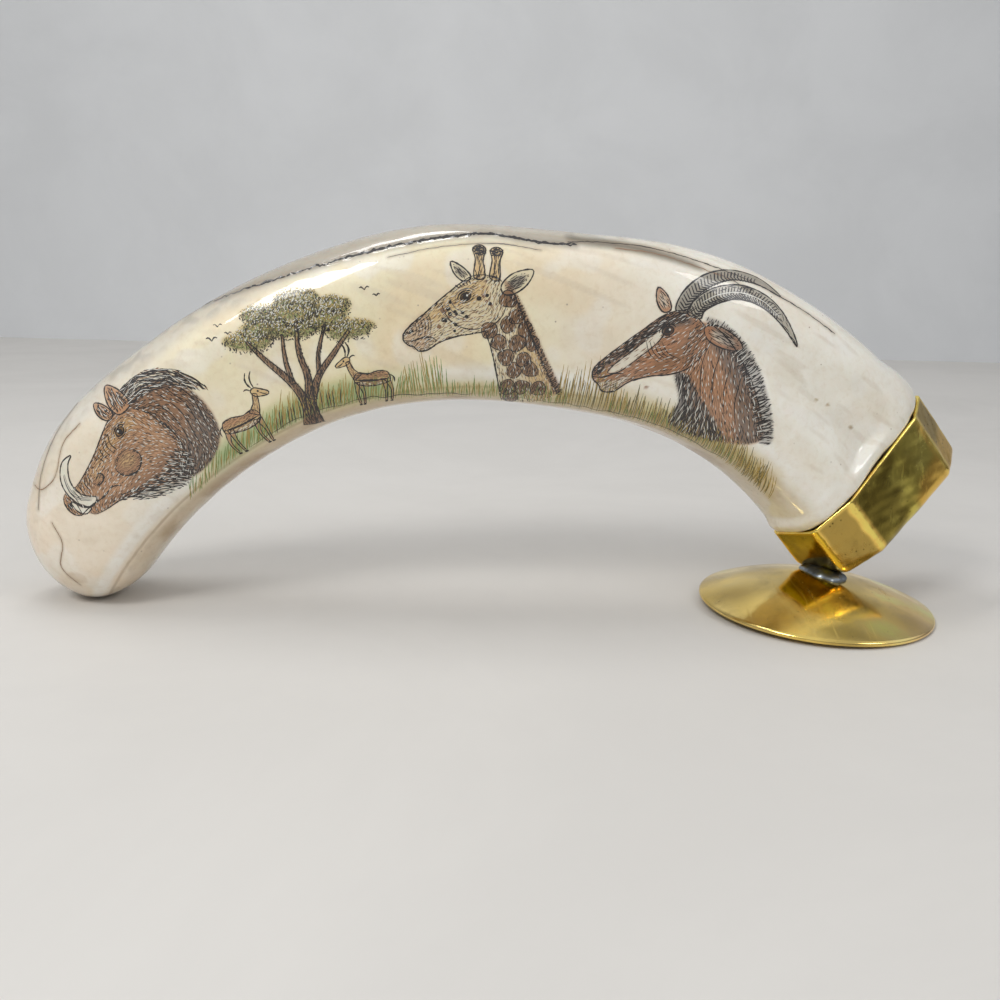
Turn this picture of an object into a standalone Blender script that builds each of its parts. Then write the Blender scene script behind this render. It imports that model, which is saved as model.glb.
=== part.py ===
"""Scrimshaw warthog tusk standing on a brass cap and a domed brass base disc.

The tusk is one long curved tooth. Its blunt tip rests on the table at the left, and its
root is set in a folded brass cap at the right. One bottom edge of the cap is soldered to
the top of a shallow brass disc. Units are metres, +Z is up, the engraved face looks
towards -Y, and the origin is at the middle of the object's footprint.
"""

import math

import bmesh
import bpy
import numpy as np
from mathutils import Matrix, Vector

MM = 0.001

# Clear space between two pieces that touch in the real object
GAP = 0.3 * MM

# Tusk axis: where it starts at the tip, its length, and its direction at even steps
TIP_START = Vector((-86.51, 0.84, 0.42)) * MM
ARC_LENGTH = 192.3 * MM
CLIMB_DEGREES = (69.0, 45.0, 22.0, -2.0, -25.0, -48.6)
SWAY_DEGREES = (-1.0, -0.5, 0.0, 1.5, 5.0, 10.0)

# Tusk section at even steps: reach away from and towards the arch's middle, half
# thickness, squareness (2 is an ellipse) and twist about the axis
OUTER_REACH = tuple(reach * MM for reach in (12.9, 19.0, 17.6, 16.7, 16.5, 14.9, 17.4, 18.4, 20.2))
INNER_REACH = tuple(reach * MM for reach in (9.1, 11.3, 13.1, 14.6, 16.9, 18.7, 18.4, 18.4, 19.2))
HALF_THICKNESS = tuple(half * MM for half in (11.5, 12.0, 12.0, 12.0, 11.8, 11.6))
SQUARENESS = (2.3, 2.5, 2.7, 2.8, 3.0, 3.4)
TWIST_DEGREES = (0.0, 0.0, 1.0, 5.0, 14.0, 24.0)

# Blunt tip, and the long valleys that deepen towards the root on the front and the back
TIP_LENGTH = 13.0 * MM
VALLEY_START = 0.70
VALLEY_MIDDLE = 0.5 * MM
VALLEY_HALF_WIDTH = 5.5 * MM
VALLEY_DEPTH = 2.0 * MM
BACK_VALLEY_SHARE = 0.6

# Root: the shoulder that rolls over the cap's rim, and the tenon seated in the cap
SHOULDER_LENGTH = 2.4 * MM
SHOULDER_INSET = 1.3 * MM
TENON_INSET = 2.1 * MM
TENON_DEPTH = 9.5 * MM

# Mesh of the tusk
RING_POINTS = 44
TIP_RINGS = 7
BODY_RINGS = 40
SHOULDER_RINGS = 4
AXIS_STEPS = 400

# Brass cap: a folded eight-sided sleeve, closed at its lower end and deeper towards its
# outer side; its bottom edges are rounded, apart from the soldered inner one
CAP_INNER_END = -19.3 * MM
CAP_OUTER_END = 20.8 * MM
CAP_FRONT = -11.2 * MM
CAP_BACK = 10.6 * MM
CAP_END_FRONT = -6.9 * MM
CAP_END_BACK = 6.4 * MM
CAP_FOLD_INNER = -10.8 * MM
CAP_FOLD_OUTER = 13.2 * MM
CAP_DEPTH = 13.4 * MM
CAP_DEPTH_SLOPE = 0.12
CAP_WALL = 0.9 * MM
CAP_FLOOR = 1.2 * MM
CAP_FOLD_RADIUS = 0.9 * MM
CAP_FOLD_STEPS = 2
CAP_BOTTOM_RADIUS = 3.0 * MM
CAP_BOTTOM_STEPS = 4
CAVITY_BOTTOM_RADIUS = 0.6 * MM

# Base disc: a pressed dome of sheet brass with a flat ring under its rim, slightly tipped
DISC_CENTRE = Vector((64.89, -0.66, 0.0)) * MM
DISC_RADIUS = 23.8 * MM
DISC_TILT = math.radians(1.35)
DISC_SHEET = 0.8 * MM
DISC_DOME = 5.5 * MM
DISC_LANDING = 1.6 * MM
DISC_RIM_ROUND = 0.25 * MM
DISC_SEGMENTS = 96
DISC_PROFILE_STEPS = 7

# How far a guide solid reaches beyond the piece it cuts
OVERCUT = 2.0 * MM

# Solder: a flat puddle on the disc that climbs the cap's bottom edge
SOLDER_CENTRE = Vector((66.84, 0.84, 7.0)) * MM
SOLDER_HALF_SIZE = Vector((6.6, 3.1, 1.7)) * MM
SOLDER_TURN = math.radians(-62.0)
SOLDER_TIP = math.radians(6.0)
SOLDER_SEGMENTS = 28
SOLDER_RINGS = 16

IVORY = ("ivory", (0.80, 0.75, 0.64), 0.22, 0.0)
CAP_BRASS = ("cap_brass", (0.60, 0.47, 0.17), 0.20, 1.0)
DISC_BRASS = ("disc_brass", (0.68, 0.55, 0.25), 0.25, 1.0)
SOLDER_GREY = ("solder_grey", (0.33, 0.34, 0.34), 0.35, 1.0)


def clear_scene():
    for item in list(bpy.data.objects):
        bpy.data.objects.remove(item, do_unlink=True)


def make_material(look):
    name, colour, roughness, metallic = look
    material = bpy.data.materials.new(name)
    material.use_nodes = True
    shader = material.node_tree.nodes["Principled BSDF"]
    shader.inputs["Base Color"].default_value = (*colour, 1.0)
    shader.inputs["Roughness"].default_value = roughness
    shader.inputs["Metallic"].default_value = metallic
    material.diffuse_color = (*colour, 1.0)
    return material


def add_piece(name, bm, look=None, smooth_angle=40.0):
    bmesh.ops.recalc_face_normals(bm, faces=bm.faces)
    mesh = bpy.data.meshes.new(name)
    bm.to_mesh(mesh)
    bm.free()
    mesh.shade_smooth()
    mesh.set_sharp_from_angle(angle=math.radians(smooth_angle))
    piece = bpy.data.objects.new(name, mesh)
    bpy.context.scene.collection.objects.link(piece)
    if look:
        mesh.materials.append(make_material(look))
    return piece


def cut_away(piece, cutter):
    """Subtract a guide solid, which stays in the scene as a wire."""
    cutter.hide_render = True
    cutter.display_type = "WIRE"
    cut = piece.modifiers.new("cut_by_" + cutter.name, "BOOLEAN")
    cut.operation = "DIFFERENCE"
    cut.solver = "EXACT"
    cut.object = cutter


def blend(values, share):
    """Smooth curve through values that are evenly spaced from share 0 to share 1."""
    slopes = np.gradient(np.array(values))
    place = min(max(share, 0.0), 1.0) * (len(values) - 1)
    left = min(int(place), len(values) - 2)
    rest = place - left
    rise = 3 * rest**2 - 2 * rest**3
    bend_left = rest**3 - 2 * rest**2 + rest
    bend_right = rest**3 - rest**2
    level = values[left] * (1 - rise) + values[left + 1] * rise
    return level + slopes[left] * bend_left + slopes[left + 1] * bend_right


def axis_directions(share):
    """Direction along the axis, away from the arch's middle, and away from the front."""
    climb = math.radians(blend(CLIMB_DEGREES, share))
    sway = math.radians(blend(SWAY_DEGREES, share))
    along = Vector((math.cos(sway) * math.cos(climb), math.sin(sway), math.cos(sway) * math.sin(climb)))
    outward = Vector((-math.sin(climb), 0.0, math.cos(climb)))
    return along, outward, outward.cross(along)


def trace_axis():
    """Points of the tusk's axis at even steps from tip to root."""
    step = ARC_LENGTH / AXIS_STEPS
    points = [TIP_START.copy()]
    for index in range(AXIS_STEPS):
        along, _, _ = axis_directions((index + 0.5) / AXIS_STEPS)
        points.append(points[-1] + along * step)
    return points


AXIS = trace_axis()


def axis_point(distance):
    """Point on the axis, which runs on straight past the root."""
    place = min(distance / ARC_LENGTH, 1.0) * AXIS_STEPS
    left = min(int(place), AXIS_STEPS - 1)
    point = AXIS[left].lerp(AXIS[left + 1], place - left)
    along, _, _ = axis_directions(1.0)
    return point + along * max(distance - ARC_LENGTH, 0.0)


def section_frame(distance):
    """Matrix of a section: X away from the arch's middle, Y to the back, Z to the root."""
    share = distance / ARC_LENGTH
    along, outward, backward = axis_directions(share)
    twist = math.radians(blend(TWIST_DEGREES, share))
    long_side = outward * math.cos(twist) + backward * math.sin(twist)
    short_side = backward * math.cos(twist) - outward * math.sin(twist)
    frame = Matrix((long_side, short_side, along)).transposed().to_4x4()
    frame.translation = axis_point(distance)
    return frame


def blunt_tip(distance):
    """Share of the full section reached near the rounded tip."""
    rest = max(1.0 - distance / TIP_LENGTH, 0.0)
    return math.sqrt(max(1.0 - rest**2, 0.0))


def valley(share, across, sine):
    """How far the long valleys push the front or the back face in."""
    ramp = max(share - VALLEY_START, 0.0) / (1.0 - VALLEY_START)
    shape = math.exp(-(((across - VALLEY_MIDDLE) / VALLEY_HALF_WIDTH) ** 2))
    side = 1.0 if sine < 0.0 else BACK_VALLEY_SHARE
    return VALLEY_DEPTH * ramp**1.5 * shape * side * abs(sine)


def tusk_ring(distance, inset=0.0):
    """World points of one section: a rounded rectangle with a valley on each face."""
    share = min(distance / ARC_LENGTH, 1.0)
    power = 2.0 / blend(SQUARENESS, share)
    grow = blunt_tip(distance)
    frame = section_frame(distance)
    ring = []
    for index in range(RING_POINTS):
        angle = 2.0 * math.pi * index / RING_POINTS
        cosine, sine = math.cos(angle), math.sin(angle)
        reach = blend(OUTER_REACH if cosine > 0.0 else INNER_REACH, share) - inset
        half = blend(HALF_THICKNESS, share) - inset
        across = math.copysign(abs(cosine) ** power, cosine) * reach * grow
        depth = math.copysign(abs(sine) ** power, sine) * half * grow
        depth -= math.copysign(valley(share, across, sine), sine)
        ring.append(frame @ Vector((across, depth, 0.0)))
    return ring


def tusk_stations():
    """Distance and inset of every ring, from the tip to the end of the tenon."""
    stations = []
    for index in range(1, TIP_RINGS + 1):
        stations.append((TIP_LENGTH * (index / TIP_RINGS) ** 2, 0.0))
    body = ARC_LENGTH - GAP - SHOULDER_LENGTH - TIP_LENGTH
    for index in range(1, BODY_RINGS + 1):
        stations.append((TIP_LENGTH + body * index / BODY_RINGS, 0.0))
    for index in range(1, SHOULDER_RINGS + 1):
        turn = 0.5 * math.pi * index / SHOULDER_RINGS
        distance = TIP_LENGTH + body + SHOULDER_LENGTH * math.sin(turn)
        stations.append((distance, SHOULDER_INSET * (1.0 - math.cos(turn))))
    stations.append((ARC_LENGTH - GAP, TENON_INSET))
    stations.append((ARC_LENGTH + TENON_DEPTH, TENON_INSET))
    return stations


def make_tusk():
    bm = bmesh.new()
    pole = bm.verts.new(axis_point(0.0))
    rings = [[bm.verts.new(point) for point in tusk_ring(*station)] for station in tusk_stations()]
    for index in range(RING_POINTS):
        following = (index + 1) % RING_POINTS
        bm.faces.new((pole, rings[0][index], rings[0][following]))
    for near, far in zip(rings, rings[1:]):
        for index in range(RING_POINTS):
            following = (index + 1) % RING_POINTS
            bm.faces.new((near[index], far[index], far[following], near[following]))
    bm.faces.new(rings[-1])
    return add_piece("tusk", bm, IVORY)


def cap_outline(grow):
    """Corners of the cap's section, moved outwards by grow."""
    corners = (
        (CAP_INNER_END, CAP_END_FRONT), (CAP_FOLD_INNER, CAP_FRONT),
        (CAP_FOLD_OUTER, CAP_FRONT), (CAP_OUTER_END, CAP_END_FRONT),
        (CAP_OUTER_END, CAP_END_BACK), (CAP_FOLD_OUTER, CAP_BACK),
        (CAP_FOLD_INNER, CAP_BACK), (CAP_INNER_END, CAP_END_BACK),
    )
    moved = []
    for index, corner in enumerate(corners):
        before = Vector(corners[index - 1])
        after = Vector(corners[(index + 1) % len(corners)])
        here = Vector(corner)
        normals = [Vector((side.y, -side.x)).normalized() for side in (here - before, after - here)]
        miter = normals[0] + normals[1]
        moved.append(here + miter * (2.0 * grow / miter.length_squared))
    return moved


def cap_prism(name, grow, top, floor, bottom_radius, look=None):
    """Closed eight-sided prism from height top above the rim down to floor inside the cap."""
    bm = bmesh.new()
    upper, lower = [], []
    for corner in cap_outline(grow):
        depth = CAP_DEPTH + CAP_DEPTH_SLOPE * corner.x - floor
        upper.append(bm.verts.new((corner.x, corner.y, -top)))
        lower.append(bm.verts.new((corner.x, corner.y, depth)))
    bm.faces.new(upper)
    bm.faces.new(lower)
    folds = []
    for index in range(len(upper)):
        following = (index + 1) % len(upper)
        bm.faces.new((upper[index], upper[following], lower[following], lower[index]))
        folds.append(bm.edges.get((upper[index], lower[index])))
    bmesh.ops.bevel(
        bm, geom=folds, offset=CAP_FOLD_RADIUS, segments=CAP_FOLD_STEPS, profile=0.5, affect="EDGES",
    )
    bottom = [
        edge for edge in bm.edges
        if all(vert.co.z > 0.5 * CAP_DEPTH for vert in edge.verts)
        and any(vert.co.x > 0.5 * (CAP_INNER_END + CAP_FOLD_INNER) for vert in edge.verts)
    ]
    bmesh.ops.bevel(
        bm, geom=bottom, offset=bottom_radius, segments=CAP_BOTTOM_STEPS, profile=0.5, affect="EDGES",
    )
    bmesh.ops.transform(bm, matrix=section_frame(ARC_LENGTH), verts=bm.verts)
    return add_piece(name, bm, look, smooth_angle=30.0)


def make_cap():
    cap = cap_prism("brass_cap", 0.0, 0.0, 0.0, CAP_BOTTOM_RADIUS, CAP_BRASS)
    cavity = cap_prism("cap_cavity", -CAP_WALL, OVERCUT, CAP_FLOOR, CAVITY_BOTTOM_RADIUS)
    cut_away(cap, cavity)
    return cap


def dome_height(radius, rim_radius, top):
    """Height of a shallow dome that comes down to zero at its rim."""
    return top * (1.0 - (radius / rim_radius) ** 2)


def disc_profile(grow):
    """Half section of the disc, from its hollow underside round the rim to its top."""
    hollow_rim = DISC_RADIUS - DISC_LANDING
    points = []
    for index in range(DISC_PROFILE_STEPS + 1):
        radius = hollow_rim * index / DISC_PROFILE_STEPS
        points.append((radius, dome_height(radius, hollow_rim, DISC_DOME)))
    points.append((DISC_RADIUS - DISC_RIM_ROUND, 0.0))
    points.append((DISC_RADIUS + grow, DISC_RIM_ROUND))
    points.append((DISC_RADIUS + grow, DISC_SHEET - DISC_RIM_ROUND + grow))
    points.append((DISC_RADIUS - DISC_RIM_ROUND, DISC_SHEET + grow))
    for index in reversed(range(DISC_PROFILE_STEPS)):
        radius = DISC_RADIUS * index / DISC_PROFILE_STEPS
        points.append((radius, DISC_SHEET + grow + dome_height(radius, DISC_RADIUS, DISC_DOME)))
    return points


def disc_frame():
    """Place of the disc's rim plane: tipped so that only its right side touches down."""
    lift = DISC_RADIUS * math.sin(DISC_TILT)
    place = Matrix.Translation(DISC_CENTRE + Vector((0.0, 0.0, lift)))
    return place @ Matrix.Rotation(DISC_TILT, 4, "Y")


def disc_solid(name, profile, look=None):
    """Turn a half section that starts and ends on the disc's axis into a closed solid."""
    bm = bmesh.new()
    lower_pole = bm.verts.new((0.0, 0.0, profile[0][1]))
    upper_pole = bm.verts.new((0.0, 0.0, profile[-1][1]))
    rings = []
    for radius, height in profile[1:-1]:
        turns = [2.0 * math.pi * index / DISC_SEGMENTS for index in range(DISC_SEGMENTS)]
        rings.append([
            bm.verts.new((radius * math.cos(turn), radius * math.sin(turn), height)) for turn in turns
        ])
    for index in range(DISC_SEGMENTS):
        following = (index + 1) % DISC_SEGMENTS
        bm.faces.new((lower_pole, rings[0][following], rings[0][index]))
        bm.faces.new((upper_pole, rings[-1][index], rings[-1][following]))
        for near, far in zip(rings, rings[1:]):
            bm.faces.new((near[index], near[following], far[following], far[index]))
    bmesh.ops.transform(bm, matrix=disc_frame(), verts=bm.verts)
    return add_piece(name, bm, look, smooth_angle=35.0)


def make_disc():
    return disc_solid("base_disc", disc_profile(0.0), DISC_BRASS)


def make_solder():
    """A stretched drop, cut clear of the disc below it and of the cap above it."""
    bm = bmesh.new()
    bmesh.ops.create_uvsphere(bm, u_segments=SOLDER_SEGMENTS, v_segments=SOLDER_RINGS, radius=1.0)
    turn = Matrix.Rotation(SOLDER_TURN, 4, "Z") @ Matrix.Rotation(SOLDER_TIP, 4, "Y")
    stretch = Matrix.Diagonal((*SOLDER_HALF_SIZE, 1.0))
    bmesh.ops.transform(bm, matrix=Matrix.Translation(SOLDER_CENTRE) @ turn @ stretch, verts=bm.verts)
    solder = add_piece("solder_joint", bm, SOLDER_GREY)
    dome = disc_profile(GAP)[-DISC_PROFILE_STEPS:]
    floor = [(0.0, -OVERCUT), (DISC_RADIUS, -OVERCUT), (DISC_RADIUS, DISC_SHEET + GAP)] + dome
    cut_away(solder, disc_solid("solder_floor", floor))
    cut_away(solder, cap_prism("solder_roof", GAP, 0.0, -GAP, CAP_BOTTOM_RADIUS + GAP))
    return solder


def build():
    clear_scene()
    make_tusk()
    make_cap()
    make_disc()
    make_solder()


build()
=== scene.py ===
"""Looks of a scrimshaw warthog tusk on a brass cap and a domed brass base disc.

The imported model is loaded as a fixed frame. Each brass piece and the tusk is remade here as
a finer mesh in the same place, and the picture on the tusk's front is cut as fine strokes
over washes of colour.
"""

import functools
import math

import bpy
import numpy as np
from bpy.props import FloatProperty, FloatVectorProperty, PointerProperty
from mathutils import Matrix, Vector
from mathutils.bvhtree import BVHTree


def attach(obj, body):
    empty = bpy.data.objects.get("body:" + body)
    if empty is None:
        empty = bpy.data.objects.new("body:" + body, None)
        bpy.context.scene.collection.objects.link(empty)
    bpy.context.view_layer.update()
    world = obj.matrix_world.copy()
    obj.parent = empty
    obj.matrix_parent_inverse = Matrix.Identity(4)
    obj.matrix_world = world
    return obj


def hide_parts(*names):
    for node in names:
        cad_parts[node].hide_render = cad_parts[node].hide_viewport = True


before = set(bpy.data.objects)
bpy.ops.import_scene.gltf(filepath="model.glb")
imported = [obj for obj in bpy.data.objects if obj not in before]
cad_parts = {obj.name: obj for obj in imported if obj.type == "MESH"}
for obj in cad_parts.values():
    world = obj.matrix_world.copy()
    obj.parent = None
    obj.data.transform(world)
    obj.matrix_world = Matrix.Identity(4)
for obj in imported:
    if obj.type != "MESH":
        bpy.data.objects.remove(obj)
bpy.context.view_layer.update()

bl_info = {
    "name": "Scrimshaw Tusk Ornament",
    "version": (1, 0, 0),
    "blender": (4, 5, 0),
    "location": "3D View > Sidebar > Ornament",
    "description": "Builds an engraved warthog tusk on a brass cap and base disc",
    "category": "Add Mesh",
}

MM = 0.001

# Tusk: the axis and its sections, as in the frame
TIP_START = (-86.51, 0.84, 0.42)
ARC_LENGTH = 192.3
CLIMB_DEGREES = (69.0, 45.0, 22.0, -2.0, -25.0, -48.6)
SWAY_DEGREES = (-1.0, -0.5, 0.0, 1.5, 5.0, 10.0)
OUTER_REACH = (12.9, 19.0, 17.6, 16.7, 16.5, 14.9, 17.4, 18.4, 20.2)
INNER_REACH = (9.1, 11.3, 13.1, 14.6, 16.9, 18.7, 18.4, 18.4, 19.2)
HALF_THICKNESS = (11.5, 12.0, 12.0, 12.0, 11.8, 11.6)
SQUARENESS = (2.3, 2.5, 2.7, 2.8, 3.0, 3.4)
TWIST_DEGREES = (0.0, 0.0, 1.0, 5.0, 14.0, 24.0)
TIP_LENGTH = 13.0
VALLEY_START = 0.70
VALLEY_MIDDLE = 0.5
VALLEY_HALF_WIDTH = 5.5
VALLEY_DEPTH = 2.70
BACK_VALLEY_SHARE = 0.6
SHOULDER_LENGTH = 2.4
TENON_INSET = 2.1
TENON_DEPTH = 9.5
GAP = 0.3

# Tusk mesh: rings along it, points round it, and how much coarser the back is
TIP_RINGS = 40
BODY_RINGS = 452
SHOULDER_RINGS = 8
RING_POINTS = 186
BACK_DENSITY = 0.28
SIDE_FADE = 0.35
ANGLE_STEPS = 1440
AXIS_STEPS = 960

# Cap
CAP_CORNERS = (
    (-19.3, -6.9), (-10.8, -11.2), (13.2, -11.2), (20.8, -6.9),
    (20.8, 6.4), (13.2, 10.6), (-10.8, 10.6), (-19.3, 6.4),
)
CAP_DEPTH = 14.85
CAP_DEPTH_SLOPE = 0.095
CAP_WALL = 0.9
CAP_FLOOR = 1.2
CAP_FOLD_RADIUS = 1.8
CAP_BOTTOM_RADIUS = 3.0

# Disc
DISC_CENTRE = (64.89, -0.66, 0.0)
DISC_RADIUS = 23.8
DISC_TILT = math.radians(1.35)
DISC_SHEET = 0.8
DISC_DOME = 5.5
DISC_LANDING = 1.6
DISC_RIM_ROUND = 0.25

# Solder
SOLDER_CENTRE = (66.84, 0.84, 7.0)
SOLDER_TURN = math.radians(-62.0)

# Ink slivers: how deep their keels sit in the ivory, and how far each ink stands proud of it
INK_SINK = 0.04
INK_RISES = {
    "green": 0.014, "gold": 0.016, "olive": 0.018, "brown": 0.020, "grey": 0.024, "black": 0.028,
    "pale": 0.034,
}

# Where the tusk meets the cap: over this length, longer on its outer side, it takes the cap's
# outline. It bulges past the outline, dips in its valley and rolls over to the seam.
MEET_LENGTH = 5.5
MEET_OUTER = 1.3
MEET_BULGE = 0.7
MEET_DIP = 0.9
MEET_ROUND = 1.15
MEET_POWER = 11.0
OUTER_SIDE = (4.0, 14.0)
TINY = 1e-24
FARTHEST = 99.0
SEAM = 0.1
# The cap's rim stands higher at the front, and the ivory follows it over this length
RIM_TILT = 0.16
TILT_LENGTH = 14.0

# The split along the top: its depth and half width. Ripple is the unevenness of the ivory.
SPLIT_DEPTH = 0.22
SPLIT_WIDTH = 0.26
RIPPLE = 0.03
# Share of the inner reach at which the front turns under, from the tip to the root
EDGE_SHARES = (0.9, 0.8, 0.76, 0.93, 0.95, 0.97, 0.97)
# Small spots on the front: x, z, size and colour
MARKS = (
    (39.2, 48.4, 0.4, (0.55, 0.45, 0.38)), (67.8, 38.7, 0.5, (0.66, 0.58, 0.46)),
    (59.4, 44.4, 0.35, (0.70, 0.62, 0.48)), (62.0, 43.4, 0.4, (0.72, 0.64, 0.50)),
    (5.8, 46.2, 0.35, (0.45, 0.30, 0.22)), (30.6, 38.6, 0.3, (0.55, 0.50, 0.42)),
    (24.6, 46.8, 0.3, (0.50, 0.32, 0.22)), (46.6, 37.8, 0.3, (0.15, 0.12, 0.10)),
)

# Rays that lay the strokes on the tusk start here, in metres; flatter hits than this are left out
CAST_FROM = -0.1
STEEPEST = -0.06
MERGE_DISTANCE = 1e-6

# Mesh of the cap: rows down its walls, over its lower edge and across its bottom
CAP_RIM_ROUND = 0.25
CAP_WALL_ROWS = 34
CAP_BOTTOM_ROWS = 8
CAP_CLOSING_ROWS = 14
CAP_INNER_ROWS = 10
CAP_FOLD_STEPS = 7
CAP_SIDE_STEPS = 22
CAP_DENT = 0.05
# A rounded edge's middle point stands off both sides by this share of its radius
ROUND_SHARE = 0.3

# Mesh of the disc and the solder
DISC_POINTS = 192
DISC_RINGS = 70
DISC_HOLLOW_RINGS = 14
DISC_MIDDLE = 0.5
DISC_WARP = 0.05
DISC_WARP_REACH = 6.0
SOLDER_SEGMENTS = 96
SOLDER_RINGS = 56
SOLDER_LIFT = 0.02
SOLDER_HALF_SIZE = (4.9, 2.5, 1.5)
SOLDER_SPREAD = 1.12
SOLDER_TAPER = 0.24

# Stage
CAMERA_PLACE = (-10.11, -197.59, 70.8)
CAMERA_YAW = math.radians(2.4)
CAMERA_PITCH = math.radians(13.95)
CAMERA_ROLL = math.radians(1.7)
SENSOR_WIDTH = 36.0
NEAREST_SEEN = 0.01
FLOOR_SIZE = 2400.0
FLOOR_BACK = 548.0
WALL_HEIGHT = 1500.0
SKY_LOW = (0.16, 0.15, 0.14)
SKY_HIGH = (0.88, 0.92, 1.0)
SKY_STRENGTH = 0.75
# Soft lights: place, target and size in mm, the setting that holds the power, and its share
LIGHTS = {
    "key": ((-300, -330, 470), (0, 0, 30), (210, 160), "key", 1.0),
    "fill": ((420, -300, 420), (20, 0, 30), (180, 180), "fill", 1.0),
    "strip": ((-110, 60, 420), (-50, 0, 40), (240, 60), "key", 0.3),
    "backdrop_light": ((20, 250, 700), (20, 548, 600), (500, 200), "key", 0.5),
}


# ---------------------------------------------------------------- numbers

def blend(values, share):
    """Smooth curve through values that are evenly spaced from share 0 to share 1."""
    values = np.array(values, float)
    slopes = np.gradient(values)
    place = np.clip(share, 0.0, 1.0) * (len(values) - 1)
    left = np.minimum(np.array(place, int), len(values) - 2)
    rest = place - left
    rise = 3 * rest**2 - 2 * rest**3
    level = values[left] * (1 - rise) + values[left + 1] * rise
    bend_left = rest**3 - 2 * rest**2 + rest
    bend_right = rest**3 - rest**2
    return level + slopes[left] * bend_left + slopes[left + 1] * bend_right


def smooth_step(low, high, value):
    """0 below low, 1 above high and a smooth rise between them; it falls where low is the larger."""
    share = np.clip((value - low) / (high - low), 0.0, 1.0)
    return share * share * (3 - 2 * share)


def band(value, start, full, fade, end):
    """1 between full and fade, and 0 before start and past end."""
    return smooth_step(start, full, value) * smooth_step(end, fade, value)


def signed_power(base, power):
    return np.sign(base) * np.abs(base) ** power


# ---------------------------------------------------------------- tusk surface

def axis_directions(share):
    """Directions along the tusk's axis, outwards and backwards at shares of its length."""
    climb = np.radians(blend(CLIMB_DEGREES, share))
    sway = np.radians(blend(SWAY_DEGREES, share))
    along = np.stack([np.cos(sway) * np.cos(climb), np.sin(sway), np.cos(sway) * np.sin(climb)], -1)
    outward = np.stack([-np.sin(climb), np.zeros_like(climb), np.cos(climb)], -1)
    return along, outward, np.cross(outward, along)


def section_frames(distance):
    """Centre, long side, short side of the sections at these distances from the tip, in mm."""
    middles = (np.arange(AXIS_STEPS) + 0.5) / AXIS_STEPS
    steps = axis_directions(middles)[0] * (ARC_LENGTH / AXIS_STEPS)
    axis = np.vstack([TIP_START, np.array(TIP_START) + np.cumsum(steps, axis=0)])
    share = distance / ARC_LENGTH
    along, outward, backward = axis_directions(share)
    stations = np.linspace(0.0, ARC_LENGTH, AXIS_STEPS + 1)
    centre = np.stack([np.interp(distance, stations, axis[:, k]) for k in range(3)], -1)
    centre += along * np.maximum(distance - ARC_LENGTH, 0.0)[:, None]
    twist = np.radians(blend(TWIST_DEGREES, share))[:, None]
    long_side = outward * np.cos(twist) + backward * np.sin(twist)
    short_side = backward * np.cos(twist) - outward * np.sin(twist)
    return centre, long_side, short_side


def section_shape(distance, inset, angle):
    """Across and depth of section points; every input has one row for each ring."""
    share = np.minimum(distance / ARC_LENGTH, 1.0)[:, None]
    power = 2.0 / blend(SQUARENESS, share)
    rest = np.maximum(1.0 - distance / TIP_LENGTH, 0.0)[:, None]
    grow = np.sqrt(np.maximum(1.0 - rest**2, 0.0))
    cosine, sine = np.cos(angle), np.sin(angle)
    reach = np.where(cosine > 0.0, blend(OUTER_REACH, share), blend(INNER_REACH, share)) - inset[:, None]
    half = blend(HALF_THICKNESS, share) - inset[:, None]
    across = signed_power(cosine, power) * reach * grow
    depth = signed_power(sine, power) * half * grow
    ramp = np.maximum(share - VALLEY_START, 0.0) / (1.0 - VALLEY_START)
    dip = VALLEY_DEPTH * ramp**1.5 * np.exp(-(((across - VALLEY_MIDDLE) / VALLEY_HALF_WIDTH) ** 2))
    dip *= np.where(sine < 0.0, 1.0, BACK_VALLEY_SHARE) * np.abs(sine)
    return across, depth - np.sign(sine) * dip


def tusk_stations():
    """Distance and inset of every ring, with a ring of no size at each end."""
    turn = 0.5 * math.pi * np.arange(TIP_RINGS + 1) / TIP_RINGS
    tip = TIP_LENGTH * (1.0 - np.cos(turn))
    shoulder_start = ARC_LENGTH - GAP - SHOULDER_LENGTH
    body = np.linspace(TIP_LENGTH, shoulder_start, BODY_RINGS + 1)[1:]
    turn = 0.5 * math.pi * np.arange(1, SHOULDER_RINGS + 1) / SHOULDER_RINGS
    shoulder = shoulder_start + (ARC_LENGTH - SEAM - shoulder_start) * np.sin(turn)
    end = np.array([ARC_LENGTH - SEAM, ARC_LENGTH + TENON_DEPTH, ARC_LENGTH + TENON_DEPTH])
    distance = np.concatenate([tip, body, shoulder, end])
    inset = np.zeros_like(distance)
    first = TIP_RINGS + 1 + BODY_RINGS
    inset[first:first + SHOULDER_RINGS] = MEET_ROUND * (1.0 - np.cos(turn))
    inset[first + SHOULDER_RINGS:] = TENON_INSET
    return distance, inset


def cap_reach(across, depth):
    """Distance from the axis to the cap's outline, its corners rounded, towards section points."""
    corners = np.array(CAP_CORNERS)
    sides = np.roll(corners, -1, axis=0) - corners
    normals = np.stack([sides[:, 1], -sides[:, 0]], -1) / np.hypot(*sides.T)[:, None]
    radius = np.hypot(across, depth) + 1e-9
    total = np.full(across.shape, TINY)
    for corner, normal in zip(corners, normals):
        slope = np.maximum(across * normal[0] + depth * normal[1], 0.0) / radius
        total += (slope / (corner @ normal)) ** MEET_POWER
    return np.minimum(total ** (-1.0 / MEET_POWER), FARTHEST)


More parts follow.
